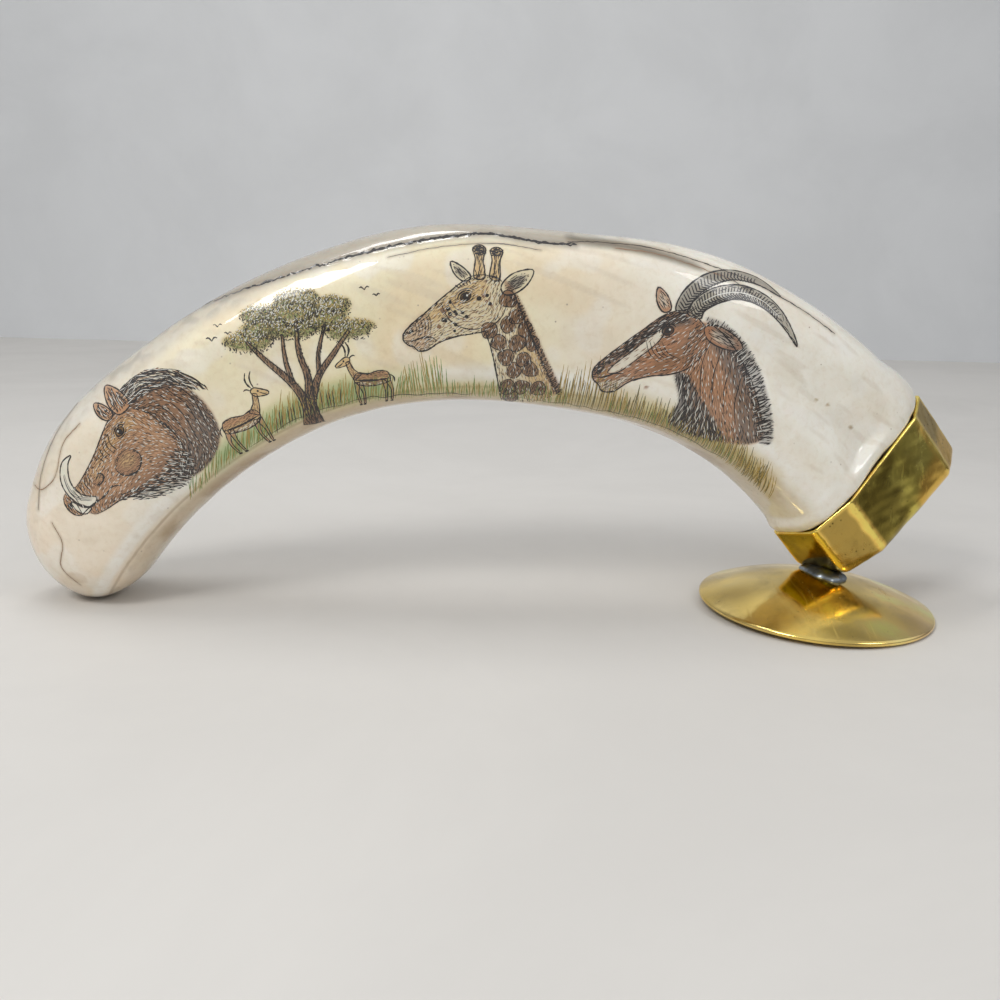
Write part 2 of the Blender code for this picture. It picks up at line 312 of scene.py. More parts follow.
def meet_cap(across, depth, distance, inset):
    """The section's points, drawn onto the cap's outline where the tusk nears the cap."""
    dip = MEET_DIP * np.exp(-(((across - VALLEY_MIDDLE) / VALLEY_HALF_WIDTH) ** 2)) * (depth < 0.0)
    target = cap_reach(across, depth) + MEET_BULGE - dip - inset[:, None]
    length = MEET_LENGTH * (1.0 + MEET_OUTER * smooth_step(*OUTER_SIDE, across))
    share = smooth_step(ARC_LENGTH - length, ARC_LENGTH - SHOULDER_LENGTH, distance[:, None])
    scale = 1.0 + share * (target / np.maximum(np.hypot(across, depth), 0.1) - 1.0)
    return across * scale, depth * scale


def tusk_points():
    """Points of the tusk's surface as rings by points, with distance and angle, in mm."""
    distance, inset = tusk_stations()
    raw = np.linspace(0.5 * math.pi, 2.5 * math.pi, ANGLE_STEPS + 1)[None, :].repeat(len(distance), 0)
    across, depth = section_shape(distance, inset, raw)
    run = np.hypot(np.diff(across, axis=1), np.diff(depth, axis=1)) + 1e-9
    front = smooth_step(SIDE_FADE, -SIDE_FADE, np.sin(raw[:, 1:]))
    travel = np.cumsum(run * (BACK_DENSITY + (1.0 - BACK_DENSITY) * front), axis=1)
    travel = np.hstack([np.zeros((len(distance), 1)), travel])
    share = np.linspace(0.0, 1.0, RING_POINTS + 1)
    angle = np.array([np.interp(share * total[-1], total, row) for total, row in zip(travel, raw)])
    across, depth = meet_cap(*section_shape(distance, inset, angle), distance, inset)
    across[-1], depth[-1] = 0.0, 0.0
    centre, long_side, short_side = section_frames(distance)
    points = centre[:, None] + across[..., None] * long_side[:, None] + depth[..., None] * short_side[:, None]
    tilt = RIM_TILT * smooth_step(ARC_LENGTH - TILT_LENGTH, ARC_LENGTH, distance)[:, None] * depth
    points += tilt[..., None] * np.cross(short_side, long_side)[:, None]
    return points, np.broadcast_to(distance[:, None], angle.shape), long_side


# ---------------------------------------------------------------- drawing

OVAL_POINTS = 28
LINE_STEP = 0.5
LINE_WOBBLE = 0.22
BAND_STEPS = 12
HATCH_CROWDING = 0.62
SHORT_STROKE = 1.05
SWELLS = {1: (0.2, 1.1, 0.15), 2: (0.15, 0.8, 1.0, 0.75, 0.1)}


def curve(points, closed=False, steps=6):
    """Smooth curve through points given as x, z, x, z and so on, in picture millimetres."""
    knots = np.array(points, float).reshape(-1, 2)
    if closed:
        padded = np.vstack([knots[-1], knots, knots[:2]])
    else:
        padded = np.vstack([2 * knots[0] - knots[1], knots, 2 * knots[-1] - knots[-2]])
    t = (np.arange(steps) / steps)[:, None]
    parts = []
    for a, b, c, d in zip(padded, padded[1:], padded[2:], padded[3:]):
        cubic = (3 * b - a - 3 * c + d) * t**3
        parts.append(0.5 * (2 * b + (c - a) * t + (2 * a - 5 * b + 4 * c - d) * t**2 + cubic))
    return np.vstack(parts) if closed else np.vstack(parts + [knots[-1:]])


def form(*points):
    """Closed smooth outline through points given as x, z, x, z and so on."""
    return curve(points, closed=True)


def oval(x, z, half_x, half_z, turn=0.0):
    """Outline of an oval."""
    angle = 2.0 * math.pi * np.arange(OVAL_POINTS) / OVAL_POINTS
    c, s = math.cos(math.radians(turn)), math.sin(math.radians(turn))
    u, v = half_x * np.cos(angle), half_z * np.sin(angle)
    return np.stack([x + u * c - v * s, z + u * s + v * c], -1)


def resample(path, step):
    """Points evenly spaced along a path, no farther apart than step."""
    run = np.concatenate([[0.0], np.cumsum(np.hypot(*np.diff(path, axis=0).T))])
    count = max(int(math.ceil(run[-1] / step)), 3)
    places = np.linspace(0.0, run[-1], count + 1)
    return np.stack([np.interp(places, run, path[:, k]) for k in range(2)], -1)


def inside(outline, points):
    """Which points lie inside a closed outline."""
    x, z = points[..., 0], points[..., 1]
    result = np.zeros(x.shape, bool)
    for (x1, z1), (x2, z2) in zip(outline, np.roll(outline, -1, axis=0)):
        if z1 == z2:
            continue
        crosses = (z1 > z) != (z2 > z)
        result ^= crosses & (x < (x2 - x1) * (z - z1) / (z2 - z1) + x1)
    return result


def distance_to(path, points, closed=False):
    """Distance from points to a path."""
    ends = np.roll(path, -1, axis=0) if closed else path[1:]
    starts = path if closed else path[:-1]
    best = np.full(points.shape[:-1], np.inf)
    for start, end in zip(starts, ends):
        side = end - start
        share = np.clip(((points - start) @ side) / max(side @ side, 1e-12), 0.0, 1.0)
        gap = points - (start + share[..., None] * side)
        best = np.minimum(best, np.hypot(gap[..., 0], gap[..., 1]))
    return best


def scaled(outline, share):
    """An outline made smaller or larger about its own middle."""
    return outline.mean(0) + (outline - outline.mean(0)) * share


def limb(points, widths):
    """Closed outline of a limb that follows points and changes evenly through some widths."""
    path = curve(points)
    along = np.gradient(path, axis=0)
    side = np.stack([-along[:, 1], along[:, 0]], -1) / np.hypot(*along.T)[:, None]
    places = np.linspace(0.0, len(widths) - 1.0, len(path))
    half = 0.5 * np.interp(places, np.arange(len(widths)), widths)[:, None]
    return np.vstack([path + side * half, (path - side * half)[::-1]])


class Engraving:
    """Washes of colour and inked strokes of one figure, drawn upright in millimetres of its own."""

    def __init__(self, name, seed, place=(0.0, 0.0), turn=0.0, size=1.0, facing=1.0):
        self.name = name
        self.random = np.random.default_rng(seed)
        self.place = np.array(place)
        c, s = math.cos(math.radians(turn)), math.sin(math.radians(turn))
        self.frame = size * np.array([[facing * c, facing * s], [-s, c]])
        self.strokes = {}
        self.washes = []
        self.covered = []

    def placed(self, path):
        """Where points of the figure come in the picture."""
        return self.place + path @ self.frame

    def stroke(self, ink, path, width):
        self.strokes.setdefault(ink, []).append((self.placed(path), width))

    def line(self, ink, width, points, closed=False, taper=0.3, behind=()):
        """One drawn line, thinner at its ends, left out where it runs behind other outlines."""
        path = points if isinstance(points, np.ndarray) else curve(points, closed)
        if closed:
            path = np.vstack([path, path[:1]])
        path = resample(path, LINE_STEP)
        seen = np.ones(len(path), bool)
        for outline in behind:
            seen &= ~inside(outline, path)
        breaks = np.flatnonzero(np.diff(seen)) + 1
        for run, shown in zip(np.split(path, breaks), np.split(seen, breaks)):
            if not shown[0] or len(run) < 3:
                continue
            share = np.linspace(0.0, 1.0, len(run))
            swell = 1.0 if closed and seen.all() else taper + (1.0 - taper) * np.sin(math.pi * share) ** 0.6
            wobble = 1.0 + LINE_WOBBLE * self.random.standard_normal(len(run))
            self.stroke(ink, run, np.clip(width * swell * wobble, 0.3 * width, 1.6 * width))

    def lines(self, ink, width, first, last, count):
        """Lines that pass evenly from one curve to another."""
        steps = np.linspace(0.0, 1.0, BAND_STEPS)
        ends = []
        for points in (first, last):
            path = resample(curve(points), 0.8)
            places = np.linspace(0, 1, len(path))
            ends.append(np.stack([np.interp(steps, places, path[:, k]) for k in range(2)], -1))
        for share in np.linspace(0.0, 1.0, count):
            jitter = 0.04 * self.random.standard_normal(2)
            self.line(ink, width, ends[0] + (ends[1] - ends[0]) * share + jitter)

    def dot(self, ink, x, z, size, turn=0.0, long=1.15):
        """A filled dot, a little longer than it is wide."""
        half = 0.5 * size * long
        c, s = math.cos(math.radians(turn)), math.sin(math.radians(turn))
        share = np.linspace(-1.0, 1.0, 7)
        path = np.stack([x + half * share * c, z + half * share * s], -1)
        self.stroke(ink, path, size * np.sqrt(np.maximum(1.0 - share**2, 0.0)) + 0.01)

    def flow(self, guides, points):
        """Direction in radians at points, from a number of degrees or x, z, degrees guides."""
        if np.isscalar(guides):
            return np.full(points.shape[:-1], math.radians(guides))
        guides = np.array(guides, float).reshape(-1, 3)
        gaps = points[..., None, :] - guides[:, :2]
        weight = 1.0 / ((gaps**2).sum(-1) + 0.3) ** 1.5
        angle = np.radians(guides[:, 2])
        return np.arctan2((weight * np.sin(angle)).sum(-1), (weight * np.cos(angle)).sum(-1))

    def hatch(self, ink, outline, guides, gap, length, width, keep=1.0, edge=None, spread=7.0):
        """Short strokes that fill an outline along guides; edge=(reach, keep) thins the middle."""
        low, high = outline.min(0), outline.max(0)
        area = float(np.prod(high - low))
        count = int(area / (gap * length * HATCH_CROWDING))
        side = math.sqrt(area / max(count, 1))
        grid = np.mgrid[low[0]:high[0]:side, low[1]:high[1]:side].reshape(2, -1).T
        seeds = grid + side * self.random.uniform(-0.5, 0.5, grid.shape)
        seeds = seeds[inside(outline, seeds)]
        for cover in self.covered:
            seeds = seeds[~inside(cover, seeds)]
        chance = np.full(len(seeds), keep)
        if edge and len(seeds):
            depth = distance_to(outline, seeds, closed=True)
            chance = edge[1] + (keep - edge[1]) * np.exp(-((depth / edge[0]) ** 2))
        seeds = seeds[self.random.random(len(seeds)) < chance]
        if not len(seeds):
            return
        reach = length * self.random.uniform(0.3, 0.7, len(seeds))
        turn = np.radians(spread) * self.random.standard_normal(len(seeds))
        steps = 1 if length < SHORT_STROKE else 2
        for _ in range(2):
            ends = [self.walk(guides, seeds, way * reach, turn, steps)[-1] for way in (-1.0, 1.0)]
            outside = ~inside(outline, ends[0]) | ~inside(outline, ends[1])
            reach = np.where(outside, 0.6 * reach, reach)
        back = self.walk(guides, seeds, -reach, turn, steps)
        ahead = self.walk(guides, seeds, reach, turn, steps)
        paths = np.stack(back[::-1] + [seeds] + ahead, 1)
        for path, weight in zip(paths, self.random.uniform(0.7, 1.25, len(seeds))):
            self.stroke(ink, path, width * weight * np.array(SWELLS[steps]))

    def walk(self, guides, seeds, reach, turn, steps):
        """Steps from each seed along the guides, reach long in all."""
        place, stops = seeds, []
        for _ in range(steps):
            angle = self.flow(guides, place) + turn
            place = place + reach[:, None] / steps * np.stack([np.cos(angle), np.sin(angle)], -1)
            stops.append(place)
        return stops

    def wash(self, colour, outline, strength=0.85, soft=0.35, within=None):
        """Colour inside an outline, kept within a second outline where one is given."""
        limit = None if within is None else self.placed(within)
        self.washes.append((colour, self.placed(outline), strength, soft, limit))

    def shape(self, colour, outline, width=0.24, strength=0.9, soft=0.3, behind=()):
        """A washed area with a dark outline."""
        self.wash(colour, outline, strength, soft)
        self.line("black", width, outline, closed=True, behind=behind)

    def coat(self, outline, guides, brown=0.5, black=0.7, pale=1.2, rim=1.3):
        """Hide or short fur: brown strokes all over, black ones along the rim, a few pale ones."""
        self.hatch("brown", outline, guides, brown, 1.0, 0.13)
        self.hatch("black", outline, guides, black, 0.85, 0.14, keep=0.9, edge=(rim, 0.16))
        self.hatch("pale", outline, guides, 1.5 * pale, 0.85, 0.13)

    def cover(self, outline):
        """Keep later hatching out of an outline."""
        self.covered.append(outline)


# ---------------------------------------------------------------- engravings

# The split along the top of the front, from the tip's side to the middle, in mm: x, z and so on
SPLIT = curve((-70, 52.6, -63, 57.6, -54, 61.4, -45, 64.6, -37, 67.2, -30, 69.4, -24, 71, -18, 72.3,
               -11, 73.5, -5, 73.9, 0, 73.2, 5, 72.6, 10.5, 72.4))
STAIN = form(9, 74, 16, 73.6, 24, 72.4, 32, 70.2, 34.5, 68.6, 28, 70.2, 20, 71.8, 12, 72.6)
# Where the split's dark lines run, as points of its curve, with their ink and width
SPLIT_LINES = ((14, 74, "black", 0.42), (26, 74, "black", 0.34), (40, 70, "black", 0.3),
               (0, 20, "grey", 0.34))
SPLIT_SHAKE = 0.13
CRACK_SHAKE = 0.05
BARK_RISE = (0.0, 7.0)
# Finer cracks of the front: path, ink and width
CRACKS = (
    ((9, 72.9, 16, 73, 24, 72.4, 32, 70.7, 40, 68.3, 46, 66.2, 52, 63.4, 58, 60.2, 63, 57), "black", 0.2),
    ((18, 72, 26, 71.2, 34, 69, 41, 66.8), "brown", 0.2),
    ((38, 68, 42, 66.2, 46, 63.6, 47.6, 62.4), "grey", 0.16),
    ((-24, 69.2, -14, 71.4, -4, 72.2, 4, 71.2), "grey", 0.14),
    ((-84, 40, -88, 34, -90.5, 27, -91, 20), "grey", 0.16),
    ((-82, 37, -85.5, 33, -87, 27, -90, 24, -93, 24.5), "brown", 0.14),
    ((-88, 18, -86, 14, -87, 9, -84, 5), "brown", 0.14),
)

HIDE_BROWN = (0.75, 0.56, 0.40)
HIDE_DARK = (0.58, 0.42, 0.30)
FAWN = (0.89, 0.84, 0.70)
SANDY = (0.85, 0.72, 0.50)
PATCH_BROWN = (0.52, 0.38, 0.26)
CHESTNUT = (0.70, 0.50, 0.36)
HORN_GREY = (0.62, 0.59, 0.53)
SHADOW_GREY = (0.42, 0.39, 0.37)
LEAF_GOLD = (0.80, 0.70, 0.46)
LEAF_OLIVE = (0.64, 0.62, 0.46)
BONE = (0.91, 0.89, 0.82)
GRASS_GREEN = (0.60, 0.71, 0.46)
GRASS_YELLOW = (0.80, 0.78, 0.48)


def draw_eye(e, x, z, size, turn=0.0, iris=(0.50, 0.37, 0.22)):
    """An animal's eye: a dark almond with a spot of light between folded lids."""
    rim = oval(x, z, size, 0.68 * size, turn)
    e.shape(iris, rim, 0.24, 1.0, 0.1)
    e.dot("black", x, z, 0.95 * size, turn)
    e.dot("pale", x + 0.25 * size, z + 0.25 * size, 0.32 * size)
    for share, ink, width in ((1.45, "black", 0.26), (1.95, "grey", 0.18)):
        e.line(ink, width, oval(x, z, share * size, 0.7 * share * size, turn)[1:15])
    e.line("black", 0.18, oval(x, z, 1.5 * size, size, turn)[16:27])
    e.cover(rim)


def draw_warthog():
    """Bristly head in profile with curved tusks, looking towards the tip."""
    e = Engraving("warthog", 11, (-70.0, 33.0), 42.0, 0.8, -1.0)
    neck = form(-4, 9.6, -9, 10.2, -14, 8.6, -18, 4, -19, -3, -16.6, -9.4, -11, -12.6, -5, -12.8, 0, -10.6,
                -5, -8, -8, -2, -7, 5)
    head = form(-3.5, 9.5, 0.5, 9.9, 4, 8.6, 9, 6.2, 14, 4.4, 18, 3.4, 21, 3.9, 22.8, 3.2, 23.6, 1.2,
                23.2, -1.2, 21.8, -2.4, 20.2, -3, 19, -4.4, 16, -5.2, 12, -5.8, 7, -7.8, 2, -9.8, -3, -10.4,
                -7, -8.4, -8.8, -3, -8, 3, -6.2, 7.6)
    ears = (form(1.4, 9.6, 2.8, 12.2, 2.2, 15, 0.2, 13.2, -0.6, 10.2),
            form(-1.6, 9, -0.8, 12.6, -2.4, 16.4, -5, 13.4, -5.4, 9.2))
    tusk = form(16, -1.6, 18, 0.6, 18.8, 3.2, 18.2, 6, 16.2, 8.6, 14.2, 9.6, 17.4, 9.8, 20.2, 7.2, 21.2, 3.8,
                20.6, 0.2, 18.6, -2.4)
    small_tusk = form(18.8, -2.6, 20.4, -1, 21.6, 1.6, 22.2, -0.6, 21, -2.8)
    warts = (form(1.6, 1.6, 4.6, 2.4, 7.6, 0.6, 7.2, -2.2, 4, -3.4, 1, -1.4),
             oval(12.6, 1.2, 1.6, 1.1, -12))
    e.wash(HIDE_DARK, neck, 0.9, 0.5)
    e.wash(SHADOW_GREY, form(-18, 1, -12, -4, -4, -7, 2, -10, -4, -13, -12, -13, -18, -8), 0.85, 1.4, neck)
    e.shape(HIDE_BROWN, head, 0.26, 0.92, behind=(ears[1], tusk, small_tusk))
    e.wash(SANDY, form(-2, 8, 4, 7.4, 12, 4, 19, 2.4, 12, 2.4, 4, 4.4, -3, 5), 0.6, 1.0)
    e.wash(HIDE_DARK, form(-7, -4, 0, -5, 8, -4.6, 16, -4, 12, -5.8, 6, -8, 0, -10, -5, -9), 0.8, 1.2, head)
    for wart in warts:
        e.wash((0.66, 0.48, 0.35), wart, 0.7, 0.5)
        e.wash(SANDY, scaled(wart, 0.6) + (-0.3, 0.4), 0.7, 0.6)
        e.hatch("brown", wart, ((3, -3, 10), (12, 1, -10)), 0.34, 0.9, 0.15)
        e.hatch("black", wart, ((3, -3, 10), (12, 1, -10)), 0.28, 0.8, 0.15, edge=(0.5, 0.05))
        e.line("black", 0.3, wart[len(wart) // 3:])
    for ear in ears:
        e.shape(HIDE_BROWN, ear, 0.26)
        e.hatch("black", scaled(ear, 0.78), ((-3, 12, 95), (1, 12, 80)), 0.24, 1.6, 0.18)
        e.hatch("pale", scaled(ear, 0.6), ((-3, 12, 95), (1, 12, 80)), 0.8, 1.3, 0.14)
        e.cover(ear)
    for ivory in (tusk, small_tusk):
        e.shape(BONE, ivory, 0.26, 1.0, 0.15)
        e.cover(ivory)
    e.lines("grey", 0.14, (16.8, -1.2, 19.2, 1.2, 19.8, 4, 18.6, 7.4),
            (17.6, -1.4, 20.2, 1.2, 20.4, 4.2, 19.2, 7.2), 3)
    for wart in warts:
        e.cover(wart)
    draw_eye(e, 0.8, 6.0, 1.25, -12)
    hide = ((-5, 5, 250), (0, 8, 170), (10, 5, 165), (20, 1, 100), (10, -4, 170), (0, -7, 200), (-6, -5, 240))
    e.coat(head, hide, 0.42, 0.55, 1.3, 1.5)
    e.coat(neck, ((-8, 8, 200), (-16, 4, 245), (-17, -6, 280), (-6, -11, 320), (-8, 0, 262)), 0.5, 0.34, 1.8,
           3.6)
    for step in range(4):
        e.line("black", 0.2, (-9.6 - 2.4 * step, 7.6 - 0.7 * step, -11.4 - 2.1 * step, 0, -9.4 - 2.0 * step,
                              -9.6 + 0.6 * step))
    # snout, mouth and wrinkles
    e.line("black", 0.3, (22.2, -2.4, 18.6, -2.2, 14.6, -2.6, 11.4, -2.2, 9.4, -3.4))
    e.line("black", 0.26, (21.4, 3.8, 20.9, 1.2, 21.6, -2.2))
    e.hatch("black", oval(22.5, 1.0, 0.55, 0.9, 5), 90, 0.12, 0.8, 0.24)
    e.lines("black", 0.16, (13.6, 4, 14.4, 2.4, 14.2, 0.4), (20.4, 3.4, 20.2, 2, 20.4, 0.2), 8)
    e.lines("black", 0.18, (3.4, 7.6, 4.6, 5.4, 4.2, 3.2), (8.6, 5.8, 9, 4.6, 8.4, 2.8), 5)
    e.lines("brown", 0.2, (-3, 3.4, 1, 3, 4.6, 3.6), (-4.6, -1.6, -1.6, -1.4, 0.6, -2.6), 5)
    # bristles of the crest, whiskers of the cheek
    crest = form(1, 10.4, -3, 12.6, -9, 13.6, -15, 11.6, -20, 6.6, -22, 0, -19.6, 1.6, -16, 5.4, -11, 8,
                 -5, 9)
    back = ((0, 11, 150), (-6, 12, 175), (-13, 10, 212), (-19, 5, 240), (-21, 0, 262))
    e.hatch("black", crest, back, 0.22, 3.0, 0.2, spread=10)
    e.hatch("brown", crest, back, 0.5, 2.6, 0.16, spread=12)
    e.hatch("pale", crest, back, 1.5, 2.2, 0.13, spread=10)
    beard = form(-6, -5.4, 0, -6.8, 6, -6.2, 12, -5, 9, -8.4, 3, -12, -4, -13, -8, -9.6)
    e.hatch("black", beard, ((-5, -9, 235), (4, -8, 215), (10, -6, 200)), 0.26, 2.2, 0.19, spread=9)
    e.hatch("pale", beard, ((-5, -9, 235), (4, -8, 215), (10, -6, 200)), 1.7, 1.6, 0.14, spread=4)
    return e


def patches(e, outline, gap, colour, guides):
    """Large six-sided patches on a loose grid with pale lines between them."""
    low, high = outline.min(0), outline.max(0)
    for row, z in enumerate(np.arange(low[1], high[1], 0.87 * gap)):
        for x in np.arange(low[0] + 0.5 * gap * (row % 2), high[0], gap):
            middle = np.array([x, z]) + 0.09 * gap * e.random.standard_normal(2)
            if not inside(outline, middle) or any(inside(cover, middle) for cover in e.covered):
                continue
            angle = math.radians(60.0) * (np.arange(6) + 0.5) + 0.12 * e.random.standard_normal(6)
            reach = 0.5 * gap * e.random.uniform(0.78, 1.12, 6)
            corners = middle + reach[:, None] * np.stack([np.cos(angle), np.sin(angle)], -1)
            patch = curve(corners, closed=True, steps=3)
            e.shape(colour, patch, 0.16, 0.9, 0.2)
            e.hatch("black", patch, guides, 0.36, 0.8, 0.14, keep=0.8)


def draw_giraffe():
    """Head and patched neck in profile, facing the tip."""
    e = Engraving("giraffe", 12, (-8.6, 58.2), 0.0, 0.9)
    head = form(3.4, 9.2, 0.6, 9.2, -2, 7.8, -5.6, 4.9, -9.2, 1.6, -12, -0.8, -13.4, -2.4, -13.8, -3.9,
                -12.9, -5, -11.6, -5.4, -10.6, -6.2, -8.8, -6, -6, -4.2, -2.6, -3, 0.6, -2.4, 3.2, -1.6,
                6.4, 1.4, 7.2, 5.2, 6, 8.2)
    neck = form(6.8, 8, 9.4, 4, 12.4, -2.4, 15.6, -9.4, 18.4, -14.4, 13.8, -17, 7.2, -16.8, 6.2, -13, 5, -8,
                3.2, -2.6, 1.6, 2, 3.6, 7)
    muzzle = form(-9.4, 1.4, -12.2, -0.9, -13.8, -2.6, -13.8, -4.4, -12.4, -5.4, -10.6, -6.2, -9, -5.9,
                  -8, -3.2)
    horns = (form(3.6, 8.8, 4, 12.2, 3.6, 14.2, 5, 14.8, 6.2, 14, 5.6, 12, 5.6, 8.4),
             form(0.4, 8.8, 0.6, 12.4, 0, 14.4, 1.4, 15.2, 2.7, 14.4, 2.2, 12.2, 2.6, 8.8))
    ears = (form(-0.2, 8.9, -2, 10.8, -4.4, 11.8, -3.6, 9.4, -1.6, 7.9),
            form(6, 7.4, 8.4, 9.8, 12.4, 10.6, 11.4, 7.8, 8.8, 5.8, 6.6, 5.6))
    e.wash(FAWN, neck, 0.9, 0.5)
    e.line("black", 0.28, (2.8, -1.6, 4.4, -6, 5.8, -12, 6.4, -15, 7, -17))
    e.line("black", 0.22, (8, 6.8, 10, 2.8, 12.8, -3.4, 15.8, -9.6, 18.4, -14.6), behind=(head,))
    e.wash(SANDY, form(12, -2, 15.6, -9, 19.6, -17, 15, -20, 12, -12, 9, -3), 0.7, 1.2, neck)
    e.shape(FAWN, head, 0.28, behind=(ears[1],))
    e.wash(SANDY, form(2, 8.6, -4, 5.4, -9, 1.2, -8, -0.6, -3, 2.4, 3, 5), 0.75, 0.9)
    e.wash((0.80, 0.68, 0.55), muzzle, 0.8, 0.8)
    for horn in horns:
        e.shape(SANDY, horn, 0.24)
        e.hatch("black", horn + (0.3, 0.0), 88, 0.34, 1.2, 0.15, keep=0.7)
        e.hatch("black", horn[horn[:, 1] > 13.0], 0, 0.16, 0.9, 0.22)
    for ear in ears:
        e.shape(FAWN, ear, 0.26)
        e.wash(SHADOW_GREY, scaled(ear, 0.55), 0.6, 0.4)
        e.hatch("black", scaled(ear, 0.7), ((9, 8, 30), (-3, 10, 140)), 0.3, 1.3, 0.15)
        e.cover(ear)
    draw_eye(e, -1.2, 4.9, 1.15, 24, (0.30, 0.22, 0.15))
    e.lines("black", 0.2, (-2.6, 6.6, -3.4, 7.2), (-0.2, 7.4, -0.6, 8.2), 5)
    # muzzle: nostril, lips and small folds
    e.hatch("black", oval(-12.2, -2.4, 0.75, 0.34, 40), 40, 0.12, 0.8, 0.24)
    e.line("black", 0.28, (-13.6, -4.2, -11.8, -4.2, -9.8, -3.5, -8, -3.4, -7, -4))
    e.lines("black", 0.14, (-11.4, -0.6, -11, -2, -11.4, -3.4), (-8.6, 1.2, -8, -0.6, -8.2, -2.6), 6)
    e.hatch("black", muzzle, ((-12, -2, 220), (-10, -5, 200)), 0.45, 0.8, 0.14, edge=(0.7, 0.25))
    e.line("black", 0.2, (-6.2, 3.6, -5, 1, -3, -0.8, 0.2, -1.6, 3, -1))
    e.lines("grey", 0.16, (-4.4, 4.6, -3.2, 2.6, -1.2, 1.8), (-6.2, 2.4, -4.8, 0.4, -2.4, -0.6), 4)
    fur = ((0, 7, 215), (-8, 0, 218), (0, 0, 200), (5, 5, 250), (8, -6, 285), (13, -14, 290))
    e.coat(head, fur, 0.6, 0.75, 1.4, 1.0)
    for _ in range(34):
        x, z = e.random.uniform(-7.5, 6.0), e.random.uniform(-2.4, 7.4)
        if inside(scaled(head, 0.86), np.array([x, z])) and math.hypot(x + 1.2, z - 4.9) > 2.4:
            e.dot(("brown", "black")[int(x * 10) % 2], x, z, e.random.uniform(0.45, 0.85), 30, 1.3)
    e.cover(head)
    patches(e, scaled(neck, 0.92), 3.5, PATCH_BROWN, 70)
    e.coat(neck, fur, 0.8, 0.8, 2.0, 0.9)
    mane = form(6.6, 8.4, 8.4, 6.8, 11, 2.4, 14.2, -4, 17, -9.6, 19.4, -14, 18, -14.6, 15.4, -9.8, 12.6, -4,
                9.6, 2, 7.2, 6.2)
    e.wash(HIDE_DARK, mane, 0.7, 0.4)
    e.hatch("black", mane, ((8, 6, 50), (13, -3, 40), (19, -14, 35)), 0.24, 1.3, 0.19, spread=12)
    e.hatch("brown", mane, ((8, 6, 50), (13, -3, 40), (19, -14, 35)), 0.4, 1.2, 0.17, spread=12)
    return e


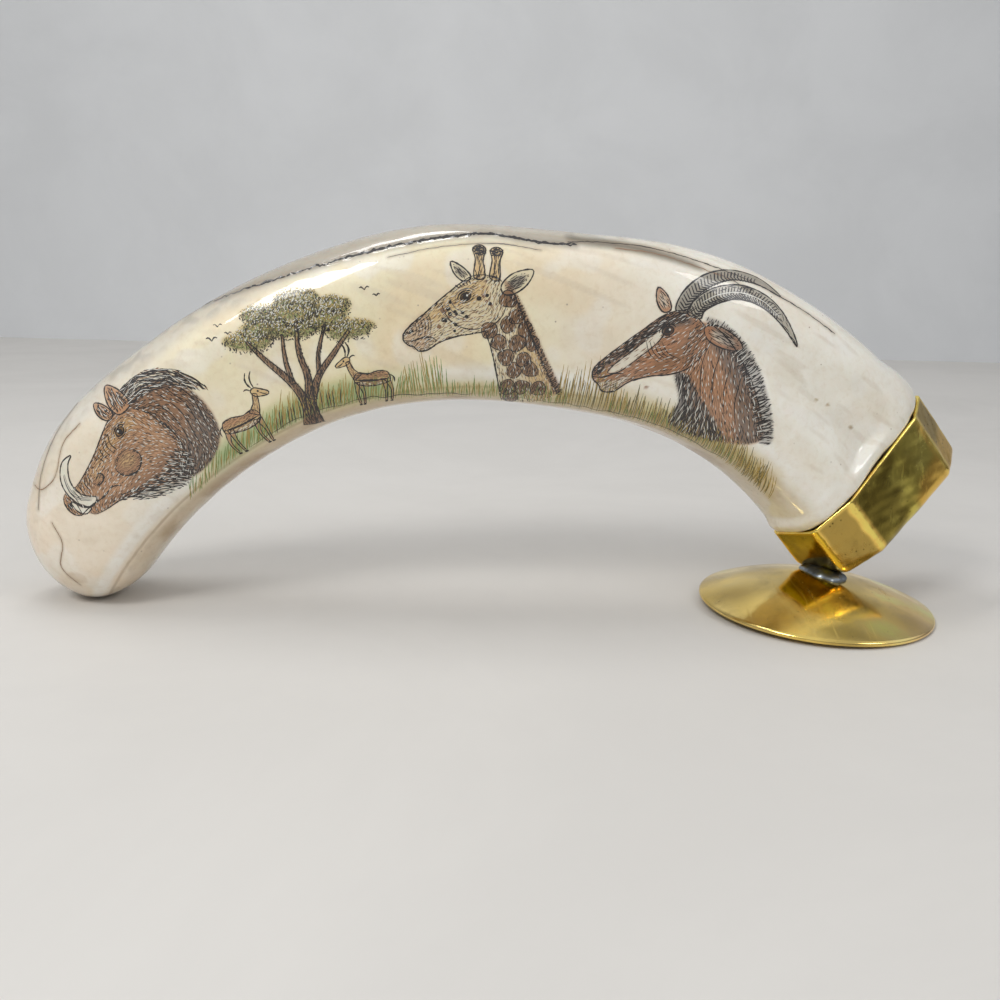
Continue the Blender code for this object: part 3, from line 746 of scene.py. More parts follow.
def draw_antelope():
    """Dark antelope's head in profile with long ringed horns swept back."""
    e = Engraving("antelope", 13, (27.5, 53.6), -13.0, 1.06)
    head = form(4.6, 7, 1.6, 7.6, -1.6, 6, -5.2, 2, -8.4, -1.8, -10.4, -4.4, -11.3, -6.2, -10.8, -7.8,
                -9.6, -8.5, -8.6, -9.5, -6.6, -9, -4.4, -6.6, -1.2, -4.8, 2.2, -3.6, 5, -1.8, 7.2, 1.6,
                6.8, 5)
    neck = form(6.4, 6.6, 10.4, 5.2, 15, 1.4, 19.4, -4.4, 22, -11, 15.4, -13.2, 8, -12.6, 6.6, -8.4,
                4.6, -3.6, 3.4, 1.4, 4.4, 5.4)
    beard = form(3, -3.4, 5.4, -3, 8.4, -6, 12.4, -9.4, 15.4, -13, 8.4, -13.4, 4.6, -11.6, 5.2, -7.8)
    far_horn = form(0.2, 7.4, 0.8, 10.8, 3.8, 14.4, 8.8, 16.6, 14.8, 16.6, 19.6, 14.4, 14.6, 15.4, 9.4, 15,
                    5.2, 12.6, 3, 9.8, 2.4, 7.4)
    horn = form(2.4, 7.4, 3.4, 10.2, 6.4, 12.9, 11.2, 14.5, 16.6, 13.9, 21, 11.2, 24.6, 6.6, 20.2, 9.8,
                15.8, 11.8, 11.2, 12, 7.6, 10.4, 5.4, 8.4, 5, 7)
    ears = (form(-0.6, 7.3, -1.8, 9.4, -3.8, 10.4, -3.6, 8.2, -2, 6.5),
            form(6.2, 5.8, 8.8, 6.6, 12.8, 5.4, 14.2, 3.6, 10.8, 3, 7.4, 3.8))
    e.wash(CHESTNUT, neck, 0.9, 0.5)
    chest = form(4, -9, 8, -11, 22, -9, 26, -14, 14, -18, 4, -14)
    e.line("black", 0.26, neck, closed=True, behind=(head, chest))
    e.wash(SHADOW_GREY, form(9, 5.6, 14, 2.4, 19, -4, 21.6, -11, 18, -12, 15, -5, 10, 1.6, 6, 4.6), 0.75, 1.0,
           neck)
    e.wash(SHADOW_GREY, beard, 0.8, 0.3)
    e.shape(CHESTNUT, head, 0.28, 0.95, behind=(ears[1],))
    e.wash(SHADOW_GREY, form(1, 7, -3, 4.2, -7, -0.6, -10, -4.6, -8.6, -4.6, -4, 0.6, 0, 4, 4, 6), 0.75, 0.5,
           head)
    e.wash(HIDE_DARK, form(6, 2, 2, -2.6, -3, -5, -1, -2.8, 2, 1, 5, 4), 0.7, 0.9)
    stripe = form(-0.6, 4.2, -2.4, 2.6, -5.4, -1.2, -7.8, -4.2, -8.6, -6, -6.6, -5.2, -3.8, -1.8, -1.4, 1.4)
    e.wash(BONE, stripe, 0.95, 0.3)
    e.wash(BONE, form(-9.6, -8.2, -7.6, -7.4, -4.6, -5.8, -6.6, -8.8, -8.6, -9.3), 0.9, 0.3)
    for shade, bend in ((HORN_GREY, far_horn), ((0.68, 0.65, 0.58), horn)):
        e.shape(shade, bend, 0.28, 0.95)
    # rings of the horns, drawn from their outer to their inner edge
    for outer, inner, count in (
        ((0.4, 8, 1.4, 11.2, 4.4, 14.4, 9, 16.3, 14.4, 16.2),
         (2.5, 8, 3.6, 10.4, 6, 13, 9.6, 14.9, 14.2, 15.4), 26),
        ((2.6, 7.8, 4, 10.6, 7, 12.9, 11.4, 14.2, 16.4, 13.6, 20.4, 11.2),
         (5.1, 7.4, 5.9, 8.9, 8, 10.5, 11.2, 12, 15.6, 11.8, 19.6, 10.1), 34),
    ):
        outside, within = resample(curve(outer), 0.1), resample(curve(inner), 0.1)
        for share in np.linspace(0.02, 0.98, count):
            first, last = outside[int(share * (len(outside) - 1))], within[int(share * (len(within) - 1))]
            sway = 0.35 * (last - first)[::-1] * (1.0, -1.0)
            e.line("black", 0.26, np.array([first, 0.5 * (first + last) + sway, last]), taper=0.7)
    e.hatch("black", horn, ((4, 9, 50), (8, 12, 30), (14, 13, 0), (20, 10, -40)), 0.5, 1.4, 0.16,
            edge=(0.5, 0.3))
    e.line("pale", 0.22, (4.6, 9.8, 7.4, 11.9, 11.4, 13.2, 16, 12.8, 19.6, 11))
    for ear in ears:
        e.shape(CHESTNUT, ear, 0.26)
        e.wash(BONE, scaled(ear, 0.6), 0.7, 0.4)
        e.hatch("black", scaled(ear, 0.78), ((10, 4.6, -15), (-3, 9, 140)), 0.34, 1.5, 0.15)
        e.cover(ear)
    draw_eye(e, -0.2, 3.6, 1.1, 28, (0.32, 0.22, 0.14))
    # nose, mouth and bridge
    e.hatch("black", form(-10.2, -4.4, -11.2, -6.2, -10.6, -7.2, -9.6, -6.2, -9.4, -5), 60, 0.18, 0.9, 0.24)
    e.line("black", 0.28, (-11, -7.4, -9.2, -7, -7.2, -5.8, -5.8, -5.6))
    e.line("black", 0.2, scaled(stripe, 1.02), closed=True)
    e.hatch("brown", stripe, 228, 0.5, 1.0, 0.12, edge=(0.4, 0.2))
    e.cover(stripe)
    e.lines("black", 0.16, (-3.6, 1, -2.4, -1, -0.4, -2), (-0.8, 1.4, 0.8, -0.2, 3, -0.6), 5)
    fur = ((2, 6, 220), (-6, 0, 228), (0, -2, 210), (5, 3, 240), (10, 0, 290), (16, -8, 300), (8, -9, 285))
    e.hatch("black", form(1.6, 7.4, -1.8, 5.8, -5.4, 1.8, -8.6, -2, -10.2, -4.4, -8.9, -4.6, -5, -0.4, -1, 4,
                          3, 6),
            fur, 0.24, 1.1, 0.18)
    e.coat(head, fur, 0.42, 0.6, 1.4, 1.3)
    e.coat(neck, fur, 0.42, 0.4, 1.6, 2.4)
    # upright mane, beard and folds of the neck
    mane = form(6, 7.4, 10.6, 7, 16.2, 3.4, 21, -2.8, 24.2, -10.6, 21.4, -11, 18.4, -4.8, 14, 0.8, 9.6, 4.4)
    e.wash(SHADOW_GREY, mane, 0.4, 0.3)
    e.hatch("black", mane, ((8, 6, 70), (14, 3, 50), (20, -4, 35), (23, -10, 25)), 0.2, 2.2, 0.2, spread=9)
    e.hatch("pale", mane, ((8, 6, 70), (14, 3, 50), (20, -4, 35), (23, -10, 25)), 1.6, 1.6, 0.13)
    e.hatch("black", beard, ((5, -5, 275), (8, -10, 265), (13, -11, 300)), 0.22, 2.4, 0.2, spread=9)
    e.hatch("pale", beard, ((5, -5, 275), (8, -10, 265), (13, -11, 300)), 1.5, 1.8, 0.13)
    for step in range(4):
        e.line("black", 0.18, (8.0 + 2.4 * step, 4.4 - 1.6 * step, 7.4 + 2.6 * step, -1.0 - 1.6 * step,
                               8.8 + 2.6 * step, -6.4 - step))
    return e


def draw_acacia():
    """Flat-topped tree with a forked trunk and layers of leaves."""
    e = Engraving("acacia", 14, (-38.0, 38.8), 9.0, 0.84)
    branches = (
        ((-1, -1, -0.6, 4, -2.6, 9, -7.6, 15, -11, 19.4), (2.8, 1.9, 1.5, 1.0, 0.5)),
        ((0.6, -1, 0.4, 5, 1, 10, 0, 16, 0.6, 23), (2.6, 1.9, 1.4, 1.0, 0.5)),
        ((1, 5, 3.4, 10, 7.6, 14.6, 12, 19.4), (1.6, 1.3, 1.0, 0.5)),
        ((-2.4, 9, -3.2, 14, -3, 20), (1.0, 0.8, 0.4)),
        ((3.6, 10.4, 4.2, 15, 6.6, 21), (1.0, 0.7, 0.4)),
    )
    for points, widths in branches:
        wood = limb(points, widths)
        e.shape(PATCH_BROWN, wood, 0.22, 0.9, 0.25)
        e.hatch("brown", wood, 90, 0.4, 1.4, 0.16, spread=12)
        e.hatch("black", wood + (0.25, 0.0), 90, 0.34, 1.2, 0.16, spread=12)
        e.cover(wood)
    e.covered.clear()
    clumps = (
        (-10.6, 19.6, 5.4, 2.2), (11.6, 19.4, 5.4, 2.1), (0.4, 20.8, 6.4, 2.0),
        (-6.2, 22.4, 5.8, 2.2), (6.8, 22.6, 5.8, 2.2), (-0.4, 24.6, 7.0, 2.4),
        (8.4, 25.0, 4.4, 1.7), (-8.2, 25.0, 4.2, 1.7), (1.2, 27.2, 5.4, 1.7),
    )
    for x, z, half_x, half_z in clumps:
        angle = 2.0 * math.pi * np.arange(14) / 14
        reach = e.random.uniform(0.84, 1.14, 14)[:, None]
        around = np.stack([half_x * np.cos(angle), half_z * np.sin(angle)], -1)
        rim = curve((x, z) + reach * around, closed=True)
        e.wash(LEAF_GOLD, rim, 0.85, 0.5)
        e.wash(LEAF_OLIVE, rim - (0.0, 0.5 * half_z), 0.7, 0.8, rim)
        e.hatch("olive", rim, 60, 0.5, 0.8, 0.2, spread=45)
        e.hatch("gold", scaled(rim, 0.9) + (0.0, 0.3 * half_z), 60, 0.7, 0.7, 0.2, spread=45)
        e.hatch("green", scaled(rim, 0.9), 60, 0.8, 0.7, 0.2, spread=45)
        e.hatch("black", scaled(rim, 1.04) - (0.0, 0.35 * half_z), 80, 0.42, 0.7, 0.2, keep=0.8,
                edge=(0.8, 0.2), spread=40)
        e.hatch("pale", scaled(rim, 0.8) + (0.0, 0.5 * half_z), 60, 1.2, 0.6, 0.15, spread=45)
    for x, z, size in ((-18.6, 20.4, 1.3), (-17.0, 23.2, 1.0), (-14.8, 21.4, 0.8), (16.2, 27.0, 1.1),
                       (18.6, 25.4, 0.8)):
        e.line("black", 0.24, (x - size, z + 0.5 * size, x - 0.5 * size, z + 0.6 * size, x, z), taper=0.6)
        e.line("black", 0.24, (x, z, x + 0.5 * size, z + 0.6 * size, x + size, z + 0.4 * size), taper=0.6)
    return e


def draw_gazelle(name, seed, place, turn, size, facing):
    """Small standing gazelle with a dark stripe along its flank."""
    e = Engraving(name, seed, place, turn, size, facing)
    body = form(-4.2, 1, -3.6, 2.3, -1.6, 2.7, 0.8, 2.3, 3, 2.8, 4.2, 1.6, 3.6, 0.1, 0.8, -0.7, -2.4, -0.5,
                -4, 0)
    neck = limb((3.2, 1.7, 4.4, 3.6, 4.9, 5.7), (2.2, 1.2, 1.0))
    head = form(4.3, 6.3, 5.2, 6.8, 6.4, 6.2, 7.8, 5.2, 7.6, 4.6, 6.2, 4.7, 4.8, 5.1)
    for hip, knee, foot in ((3.0, 2.5, 2.9), (-3.4, -4.1, -3.5), (3.6, 4.0, 3.8), (-2.8, -2.7, -2.2)):
        leg = limb((hip, 0.6, knee, -2.2, foot, -4.9), (1.3, 0.5, 0.4))
        e.shape(HIDE_BROWN, leg, 0.18, 0.9, 0.15)
        e.dot("black", foot + 0.1, -5.1, 0.5, 0, 1.6)
    for part in (neck, head, body):
        e.shape(SANDY, part, 0.2, 0.95, 0.15)
    e.wash(HIDE_BROWN, form(-4, 1.2, -3, 2.6, 0, 2.5, 3, 2.6, 4, 1.4, 0, 1.2), 0.8, 0.3, body)
    e.wash(BONE, form(-3.4, -0.2, 0, 0, 3.4, 0.4, 3, -0.8, 0, -1.2, -3, -1), 0.95, 0.2, body)
    e.line("black", 0.45, (-3.2, 0.5, 0, 0.6, 3.4, 1.1))
    e.line("black", 0.26, (-4.1, 1.6, -5, 0.8, -5, -0.4))
    e.line("black", 0.34, (4.9, 6.7, 4.3, 7.8, 4.2, 9, 4.8, 10.2))
    e.line("black", 0.3, (5.3, 6.7, 5.1, 8, 5.3, 9.2, 6, 10.2))
    e.line("black", 0.24, (4.5, 6.4, 3.6, 7, 3, 6.8))
    e.dot("black", 5.8, 5.9, 0.4)
    e.line("black", 0.2, (6, 5.6, 6.8, 5, 7.4, 4.9))
    fur = ((-3, 1, 190), (3, 1, 200), (5, 5, 240))
    e.hatch("brown", body, fur, 0.34, 0.8, 0.14)
    e.hatch("brown", neck, 250, 0.34, 0.7, 0.13)
    e.hatch("black", body, fur, 0.6, 0.7, 0.13, edge=(0.4, 0.1))
    return e


def lower_edge():
    """Where the front turns under: x and z of points along the tusk, in mm."""
    distance = np.linspace(TIP_LENGTH, ARC_LENGTH, 60)
    share = distance / ARC_LENGTH
    centre, long_side, _ = section_frames(distance)
    rim = centre - long_side * (blend(EDGE_SHARES, share) * blend(INNER_REACH, share))[:, None]
    return rim[:, 0], rim[:, 2]


def rough(e, path, ink, width, shake):
    """A crack: short lines one after another along a path, a little off it."""
    path = resample(path, 0.55)
    path = path + shake * e.random.standard_normal(path.shape)
    for first in range(0, len(path) - 4, 11):
        e.line(ink, width * e.random.uniform(0.7, 1.3), path[first:first + 13], taper=0.55)


def draw_ground():
    """Grass along the lower edge of the front, green to the left and dry to the right."""
    e = Engraving("grass", 16)
    rim = lower_edge()

    def edge(x):
        return np.interp(x, *rim)

    def grass(x0, x1, lift, tall, ink, gap, lean=0.1, width=0.17):
        """Upright blades from a little above the edge, bent at their tops."""
        count = int((x1 - x0) / gap)
        for step in range(count):
            x = x0 + (x1 - x0) * (step + e.random.uniform(-0.4, 0.4)) / count
            low = edge(x) + lift + e.random.uniform(-0.3, 0.5)
            high = max(tall * (1.0 + 0.22 * e.random.standard_normal()), 0.8)
            tip = x - lean * high + 0.25 * e.random.standard_normal()
            e.line(ink, width, (x, low, 0.6 * x + 0.4 * tip, low + 0.45 * high, tip, low + high), taper=0.25)

    def glow(colour, x0, x1, low, high, strength, soft):
        """Soft colour that follows the edge between two heights over it."""
        places = np.linspace(x0, x1, 12)
        foot, top = (np.stack([places, edge(places) + height], -1) for height in (low, high))
        e.wash(colour, np.vstack([foot, top[::-1]]), strength, soft)

    glow(GRASS_YELLOW, -60.0, -16.0, 0.6, 6.0, 0.42, 2.0)
    glow(GRASS_GREEN, -56.0, -24.0, 1.2, 4.6, 0.75, 2.0)
    glow(GRASS_YELLOW, -16.0, 22.0, 0.8, 3.6, 0.4, 1.6)
    glow(LEAF_GOLD, 16.0, 52.0, 0.8, 6.4, 0.5, 2.4)
    glow(GRASS_YELLOW, 24.0, 48.0, 1.4, 5.0, 0.4, 1.6)
    # each row of grass: where it starts and ends, its lift and height, its ink, gap and lean
    for x0, x1, lift, tall, ink, gap, lean in (
        (-62, -54, 0.2, 3.8, "green", 0.5, -0.15), (-62, -54, 0.4, 2.8, "gold", 0.8, -0.2),
        (-54, -20, 0.3, 3.8, "green", 0.3, -0.1), (-54, -20, 0.6, 4.4, "gold", 0.6, -0.12),
        (-48, -30, 0.4, 2.6, "green", 0.4, 0.1), (-46, -31, 0.4, 4.8, "gold", 0.5, 0.0),
        (-45, -32, 0.4, 3.6, "black", 0.8, 0.05), (-20, -12, 0.4, 6.4, "green", 0.42, 0.1),
        (-20, -13, 0.8, 7.8, "gold", 0.6, 0.14), (-13, 10, 0.4, 3.0, "green", 0.4, 0.0),
        (-13, 12, 0.6, 2.6, "gold", 0.7, 0.0), (8, 20, 0.5, 8.0, "gold", 0.5, -0.1),
        (8, 20, 0.5, 5.6, "olive", 0.6, -0.1), (20, 50, 0.6, 4.4, "gold", 0.34, -0.06),
        (20, 50, 0.8, 4.8, "olive", 0.5, -0.1), (18, 46, 0.8, 3.4, "green", 0.6, 0.05),
        (44, 53, 0.4, 5.6, "gold", 0.5, 0.1), (46, 52, 0.4, 4.0, "olive", 0.6, 0.1),
    ):
        grass(x0, x1, lift, tall, ink, gap, lean)
    # the split along the top: a rough dark line that thins out towards the tip
    for first, last, ink, width in SPLIT_LINES:
        rough(e, SPLIT[first:last], ink, width, SPLIT_SHAKE)
    for path, ink, width in CRACKS:
        rough(e, curve(path), ink, width, CRACK_SHAKE)
    for x0, x1, lift, ink in ((-50, -27, 0.8, "olive"), (-30, -8, 1.0, "black"), (0, 22, 0.9, "olive"),
                              (18, 42, 1.1, "black")):
        places = np.linspace(x0, x1, 14)
        rise = lift + 0.2 * e.random.standard_normal(14)
        e.line(ink, 0.2, curve(np.stack([places, edge(places) + rise], -1)))
    return e


# ---------------------------------------------------------------- skin colours

IVORY = (0.940, 0.905, 0.820)
BARK_GREY = (0.66, 0.62, 0.55)
SPLIT_GREY = (0.55, 0.51, 0.45)
STAIN_GREY = (0.34, 0.31, 0.24)
CRACK_BROWN = (0.60, 0.52, 0.42)
SEAM_BROWN = (0.45, 0.36, 0.24)
DRIFT_WAVES = 10


def to_linear(colour):
    """Linear values of everyday colour values."""
    colour = np.asarray(colour, float)
    return np.where(colour <= 0.04045, colour / 12.92, ((colour + 0.055) / 1.055) ** 2.4)


def drift(points, size, seed):
    """Smooth seeded noise, about -1 to 1, that changes over a length of about size mm."""
    random = np.random.default_rng(seed)
    total = np.zeros(points.shape[:-1])
    for _ in range(DRIFT_WAVES):
        way = random.standard_normal(3)
        way *= random.uniform(0.6, 1.6) / (np.linalg.norm(way) * size)
        total += np.sin(2.0 * math.pi * (points @ way) + random.uniform(0.0, 2.0 * math.pi))
    return total / 3.2


def grid_normals(points):
    """Outward normals of a rolled surface, rows along it and columns round it."""
    around = np.roll(points[:, :-1], -1, axis=1) - np.roll(points[:, :-1], 1, axis=1)
    around = np.concatenate([around, around[:, :1]], axis=1)
    along = np.gradient(points, axis=0)
    normal = np.cross(along, around)
    normal /= np.linalg.norm(normal, axis=-1, keepdims=True) + 1e-12
    middle = points[:, :-1].mean(axis=1, keepdims=True)
    flip = np.sign(((points - middle) * normal).sum(-1, keepdims=True).mean())
    return normal * flip


class Skin:
    """Colours of the tusk's surface, painted in everyday colour values."""

    def __init__(self, points, normals, base):
        self.points = points
        self.flat = points[..., [0, 2]]
        self.facing = smooth_step(0.2, -0.12, normals[..., 1])
        self.colour = np.broadcast_to(np.array(base, float), points.shape).copy()

    def lay(self, colour, cover, found=...):
        """Colour over all of the surface, or over the points found, as far as it covers them."""
        cover = np.clip(cover, 0.0, 1.0)[..., None]
        self.colour[found] += (np.array(colour) - self.colour[found]) * cover

    def near(self, outline, margin):
        """Which points of the front lie in an outline's box, with a margin round it."""
        low, high = outline.min(0) - margin, outline.max(0) + margin
        return ((self.flat > low) & (self.flat < high)).all(-1) & (self.facing > 0.0)

    def wash(self, colour, outline, strength, soft, limit=None):
        """Colour inside an outline on the front, with a soft edge, kept within a limit."""
        found = self.near(outline, 2.0 * soft)
        places = self.flat[found]
        depth = distance_to(outline, places, closed=True)
        depth = np.where(inside(outline, places), depth, -depth)
        cover = strength * smooth_step(-soft, soft, depth) * self.facing[found]
        if limit is not None:
            cover *= inside(limit, places)
        self.lay(colour, cover, found)

    def streak(self, colour, path, width, strength):
        """Colour along a line on the front."""
        found = self.near(path, 3.0 * width)
        gap = distance_to(path, self.flat[found])
        self.lay(colour, strength * np.exp(-((gap / width) ** 2)) * self.facing[found], found)


def paint_skin(points, normals, away, distance, washes):
    """Ivory colours from tip to root, stains, splits, painted light and shade underneath, and figures'
    washes.
    """
    skin = Skin(points, normals, IVORY)
    share = np.clip(distance / ARC_LENGTH, 0.0, 1.0)
    front = skin.facing
    under = -away
    middle = band(share, 0.05, 0.25, 0.55, 0.80)
    stretched = np.stack([distance / 14.0, points @ np.array((0.3, 0.5, 0.8)), points[..., 1]], -1)

    def clouds(low, high, size, seed, places=points):
        return smooth_step(low, high, drift(places, size, seed))

    layers = (
        # the front from the tip to the root, and its clouds
        ((0.935, 0.865, 0.775), 0.75 * smooth_step(0.22, 0.02, share)),
        ((0.945, 0.900, 0.745), 0.80 * front * band(share, 0.16, 0.34, 0.54, 0.68)),
        ((0.965, 0.948, 0.895), 0.90 * smooth_step(0.62, 0.80, share)),
        ((0.935, 0.830, 0.680), 0.35 * front * clouds(0.35, 1.0, 26.0, 3) * smooth_step(0.75, 0.6, share)),
        ((0.905, 0.860, 0.775), 0.35 * clouds(0.2, 1.0, 17.0, 4)),
        ((0.950, 0.935, 0.895), 0.45 * clouds(0.3, 1.0, 9.0, 5)),
        # the back, and the bark of the upper band
        ((0.850, 0.800, 0.700), 0.5 * smooth_step(0.2, 0.9, normals[..., 1])),
        ((0.770, 0.750, 0.700), 0.7 * smooth_step(0.45, 0.80, away) * middle),
        ((0.640, 0.620, 0.570), 0.5 * smooth_step(0.5, 0.9, away) * middle * clouds(0.0, 0.9, 5.0, 11)),
        # the underside: a painted highlight band, a brown line, then tan partly its own, partly painted shade
        ((0.975, 0.965, 0.930), 0.8 * band(under, 0.22, 0.38, 0.50, 0.62)),
        ((0.800, 0.725, 0.610), 0.75 * smooth_step(0.62, 0.80, under) * band(share, 0.0, 0.15, 0.84, 1.0)),
        ((0.600, 0.490, 0.370), 0.4 * band(under, 0.61, 0.64, 0.66, 0.69) * smooth_step(0.80, 0.65, share)),
        ((0.600, 0.480, 0.330),
         0.5 * smooth_step(0.7, 0.9, under) * clouds(-0.1, 0.9, 14.0, 6) * smooth_step(0.95, 0.8, share)),
        # growth streaks along the tusk, and brown ones at the tip
        ((0.800, 0.740, 0.650), 0.22 * clouds(0.6, 1.2, 2.6, 7, stretched)),
        ((0.740, 0.640, 0.520), 0.35 * clouds(0.9, 1.4, 6.0, 8) * smooth_step(0.12, 0.0, share)),
    )
    for colour, cover in layers:
        skin.lay(colour, cover)
    for wash in washes:
        skin.wash(*wash)
    skin.wash(BARK_GREY, np.vstack([SPLIT, SPLIT[::-1] + BARK_RISE]), 0.75, 0.5)
    skin.streak(SPLIT_GREY, SPLIT, 0.7, 0.6)
    skin.wash(STAIN_GREY, STAIN, 0.85, 0.9)
    for path, _, width in CRACKS:
        skin.streak(CRACK_BROWN, curve(path), 2.0 * width, 0.4)
    skin.lay(SEAM_BROWN, 0.8 * smooth_step(1.0, 0.1, ARC_LENGTH - distance) * clouds(0.0, 0.8, 6.0, 13))
    for x, z, size, dark in MARKS:
        skin.wash(dark, oval(x, z, size, 0.8 * size), 0.8, 0.4 * size)
    return skin.colour


# ---------------------------------------------------------------- pieces

CAP_TONE = (0.80, 0.78, 0.70)
# Tone of the painted highlights on the cap's folds and rim
PAINTED_HIGHLIGHT_TONE = (1.16, 1.12, 0.98)
DISC_CLOUD_TINT = (0.8, 0.9, 1.2)
DISC_RIGHT_TINT = (0.10, 0.10, 0.32)


def deselect_all():
    """Deselect everything, the frame's own nodes too."""
    for item in bpy.context.selected_objects:
        item.select_set(False)


def read_points(piece):
    """Places of a mesh's points, in mm."""
    places = np.empty(3 * len(piece.data.vertices))
    piece.data.vertices.foreach_get("co", places)
    return places.reshape(-1, 3) / MM


def write_points(piece, points):
    """Move a mesh's points to places in mm."""
    piece.data.vertices.foreach_set("co", (points * MM).ravel())
    piece.data.update()


def rolled_grid(name, points):
    """A grid primitive rolled up so that its points lie at these places (rows by columns, mm)."""
    deselect_all()
    rows, columns = points.shape[:2]
    bpy.ops.mesh.primitive_grid_add(x_subdivisions=columns - 1, y_subdivisions=rows - 1, size=1.0)
    piece = bpy.context.object
    piece.name = piece.data.name = name
    piece.data.uv_layers[0].name = "OFBake"
    write_points(piece, points)
    return piece


def close_seams():
    """Merge the doubled points of the active piece, turn its faces outwards and smooth it."""
    bpy.ops.object.mode_set(mode="EDIT")
    bpy.ops.mesh.select_all(action="SELECT")
    bpy.ops.mesh.remove_doubles(threshold=MERGE_DISTANCE)
    bpy.ops.mesh.normals_make_consistent(inside=False)
    bpy.ops.object.mode_set(mode="OBJECT")
    bpy.ops.object.shade_smooth()


def store_colours(piece, name, colours):
    """Keep a colour for each point of the mesh, for the material to read."""
    attribute = piece.data.attributes.new(name, "FLOAT_COLOR", "POINT")
    filled = np.ones((colours.size // 3, 4), np.float32)
    filled[:, :3] = to_linear(np.clip(colours, 0.0, 1.2)).reshape(-1, 3)
    attribute.data.foreach_set("color", filled.ravel())


def finish_piece(piece, material, slot, *nodes):
    """Give a piece its material and its body, and hide the frame's nodes that it stands for; slot is not
    used.
    """
    piece.data.materials.clear()
    piece.data.materials.append(material)
    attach(piece, "root")
    if nodes:
        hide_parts(*nodes)


def make_tusk(washes, material):
    """The tusk with its split cut in, painted point by point."""
    points, distance, long_side = tusk_points()
    normals = grid_normals(points)
    facing = smooth_step(0.3, -0.1, normals[..., 1])
    near = facing > 0.0
    gap = distance_to(SPLIT, points[..., [0, 2]][near])
    depth = SPLIT_DEPTH * np.exp(-((gap / SPLIT_WIDTH) ** 2)) * facing[near]
    depth *= smooth_step(-0.7, 0.7, drift(points[near], 3.0, 9))
    points[near] -= normals[near] * depth[:, None]
    points += normals * (RIPPLE * drift(points, 7.0, 21) * smooth_step(0.0, 4.0, distance))[..., None]
    away = (normals * long_side[:, None]).sum(-1)
    colours = paint_skin(points, normals, away, distance, washes)
    piece = rolled_grid("engraved_tusk", points)
    store_colours(piece, "skin", colours)
    close_seams()
    finish_piece(piece, material, "ivory", "tusk")


def cast_strokes(tree, strokes):
    """Where the strokes' points land on the tusk's front; strokes that miss it are dropped."""
    landed = []
    for path, width in strokes:
        hits = [tree.ray_cast(Vector((x * MM, CAST_FROM, z * MM)), Vector((0.0, 1.0, 0.0))) for x, z in path]
        if any(hit[0] is None or hit[1].y > STEEPEST for hit in hits):
            continue
        places = np.array([hit[0] for hit in hits]) / MM
        normals = np.array([hit[1] for hit in hits])
        landed.append((places, normals, np.asarray(width)))
    return landed


def stroke_mesh(name, landed, rise):
    """One mesh of closed slivers: each stroke is a low ridge with a flat top and a keel inside."""
    sizes = np.array([len(places) for places, _, _ in landed])
    starts = np.concatenate([[0], np.cumsum(sizes)[:-1]])
    places = np.vstack([p for p, _, _ in landed])
    normals = np.vstack([n for _, n, _ in landed])
    widths = np.concatenate([w for _, _, w in landed])
    total = len(places)
    before, after = np.arange(total) - 1, np.arange(total) + 1
    ends = starts + sizes - 1
    before[starts], after[ends] = starts, ends
    along = places[after] - places[before]
    side = np.cross(normals, along)
    side /= np.linalg.norm(side, axis=1, keepdims=True) + 1e-12
    top = places + normals * rise
    half = 0.5 * widths[:, None]
    rings = np.vstack([top + side * half, top - side * half, places - normals * INK_SINK])
    here = np.delete(np.arange(total), ends)
    left, right, keel = here, here + total, here + 2 * total
    quads = [(left, right, right + 1, left + 1), (right, keel, keel + 1, right + 1),
             (keel, left, left + 1, keel + 1)]
    faces = np.vstack([np.stack(quad, -1) for quad in quads]).tolist()
    caps = [(starts, starts + 2 * total, starts + total), (ends, ends + total, ends + 2 * total)]
    faces += np.vstack([np.stack(cap, -1) for cap in caps]).tolist()
    mesh = bpy.data.meshes.new(name)
    mesh.from_pydata((rings * MM).tolist(), [], faces)
    piece = bpy.data.objects.new(name, mesh)
    bpy.context.scene.collection.objects.link(piece)
    return piece


def cap_ring(inset, radius):
    """Points round the cap's outline, moved inwards, its folds rounded to a radius."""
    corners = np.array(CAP_CORNERS)
    ring = []
    for index in range(len(corners)):
        here, before, after = corners[index], corners[index - 1], corners[(index + 1) % len(corners)]
        arrive, leave = here - before, after - here
        arrive, leave = arrive / np.hypot(*arrive), leave / np.hypot(*leave)
        normals = [np.array((side[1], -side[0])) for side in (arrive, leave)]
        miter = normals[0] + normals[1]
        corner = here - miter * (2.0 * inset / (miter @ miter))
        centre = corner - miter * (2.0 * radius / (miter @ miter))
        turn = math.acos(float(np.clip(arrive @ leave, -1, 1)))
        start = math.atan2(normals[0][1], normals[0][0])
        steps = start + turn * np.linspace(0.0, 1.0, CAP_FOLD_STEPS + 1)
        ring.append(centre + radius * np.stack([np.cos(steps), np.sin(steps)], -1))
    full = []
    for index, arc in enumerate(ring):
        following = ring[(index + 1) % len(ring)][0]
        share = np.linspace(0.0, 1.0, CAP_SIDE_STEPS + 1)[1:-1, None]
        full += [arc, arc[-1] + (following - arc[-1]) * share]
    full.append(ring[0][:1])
    return np.vstack(full)


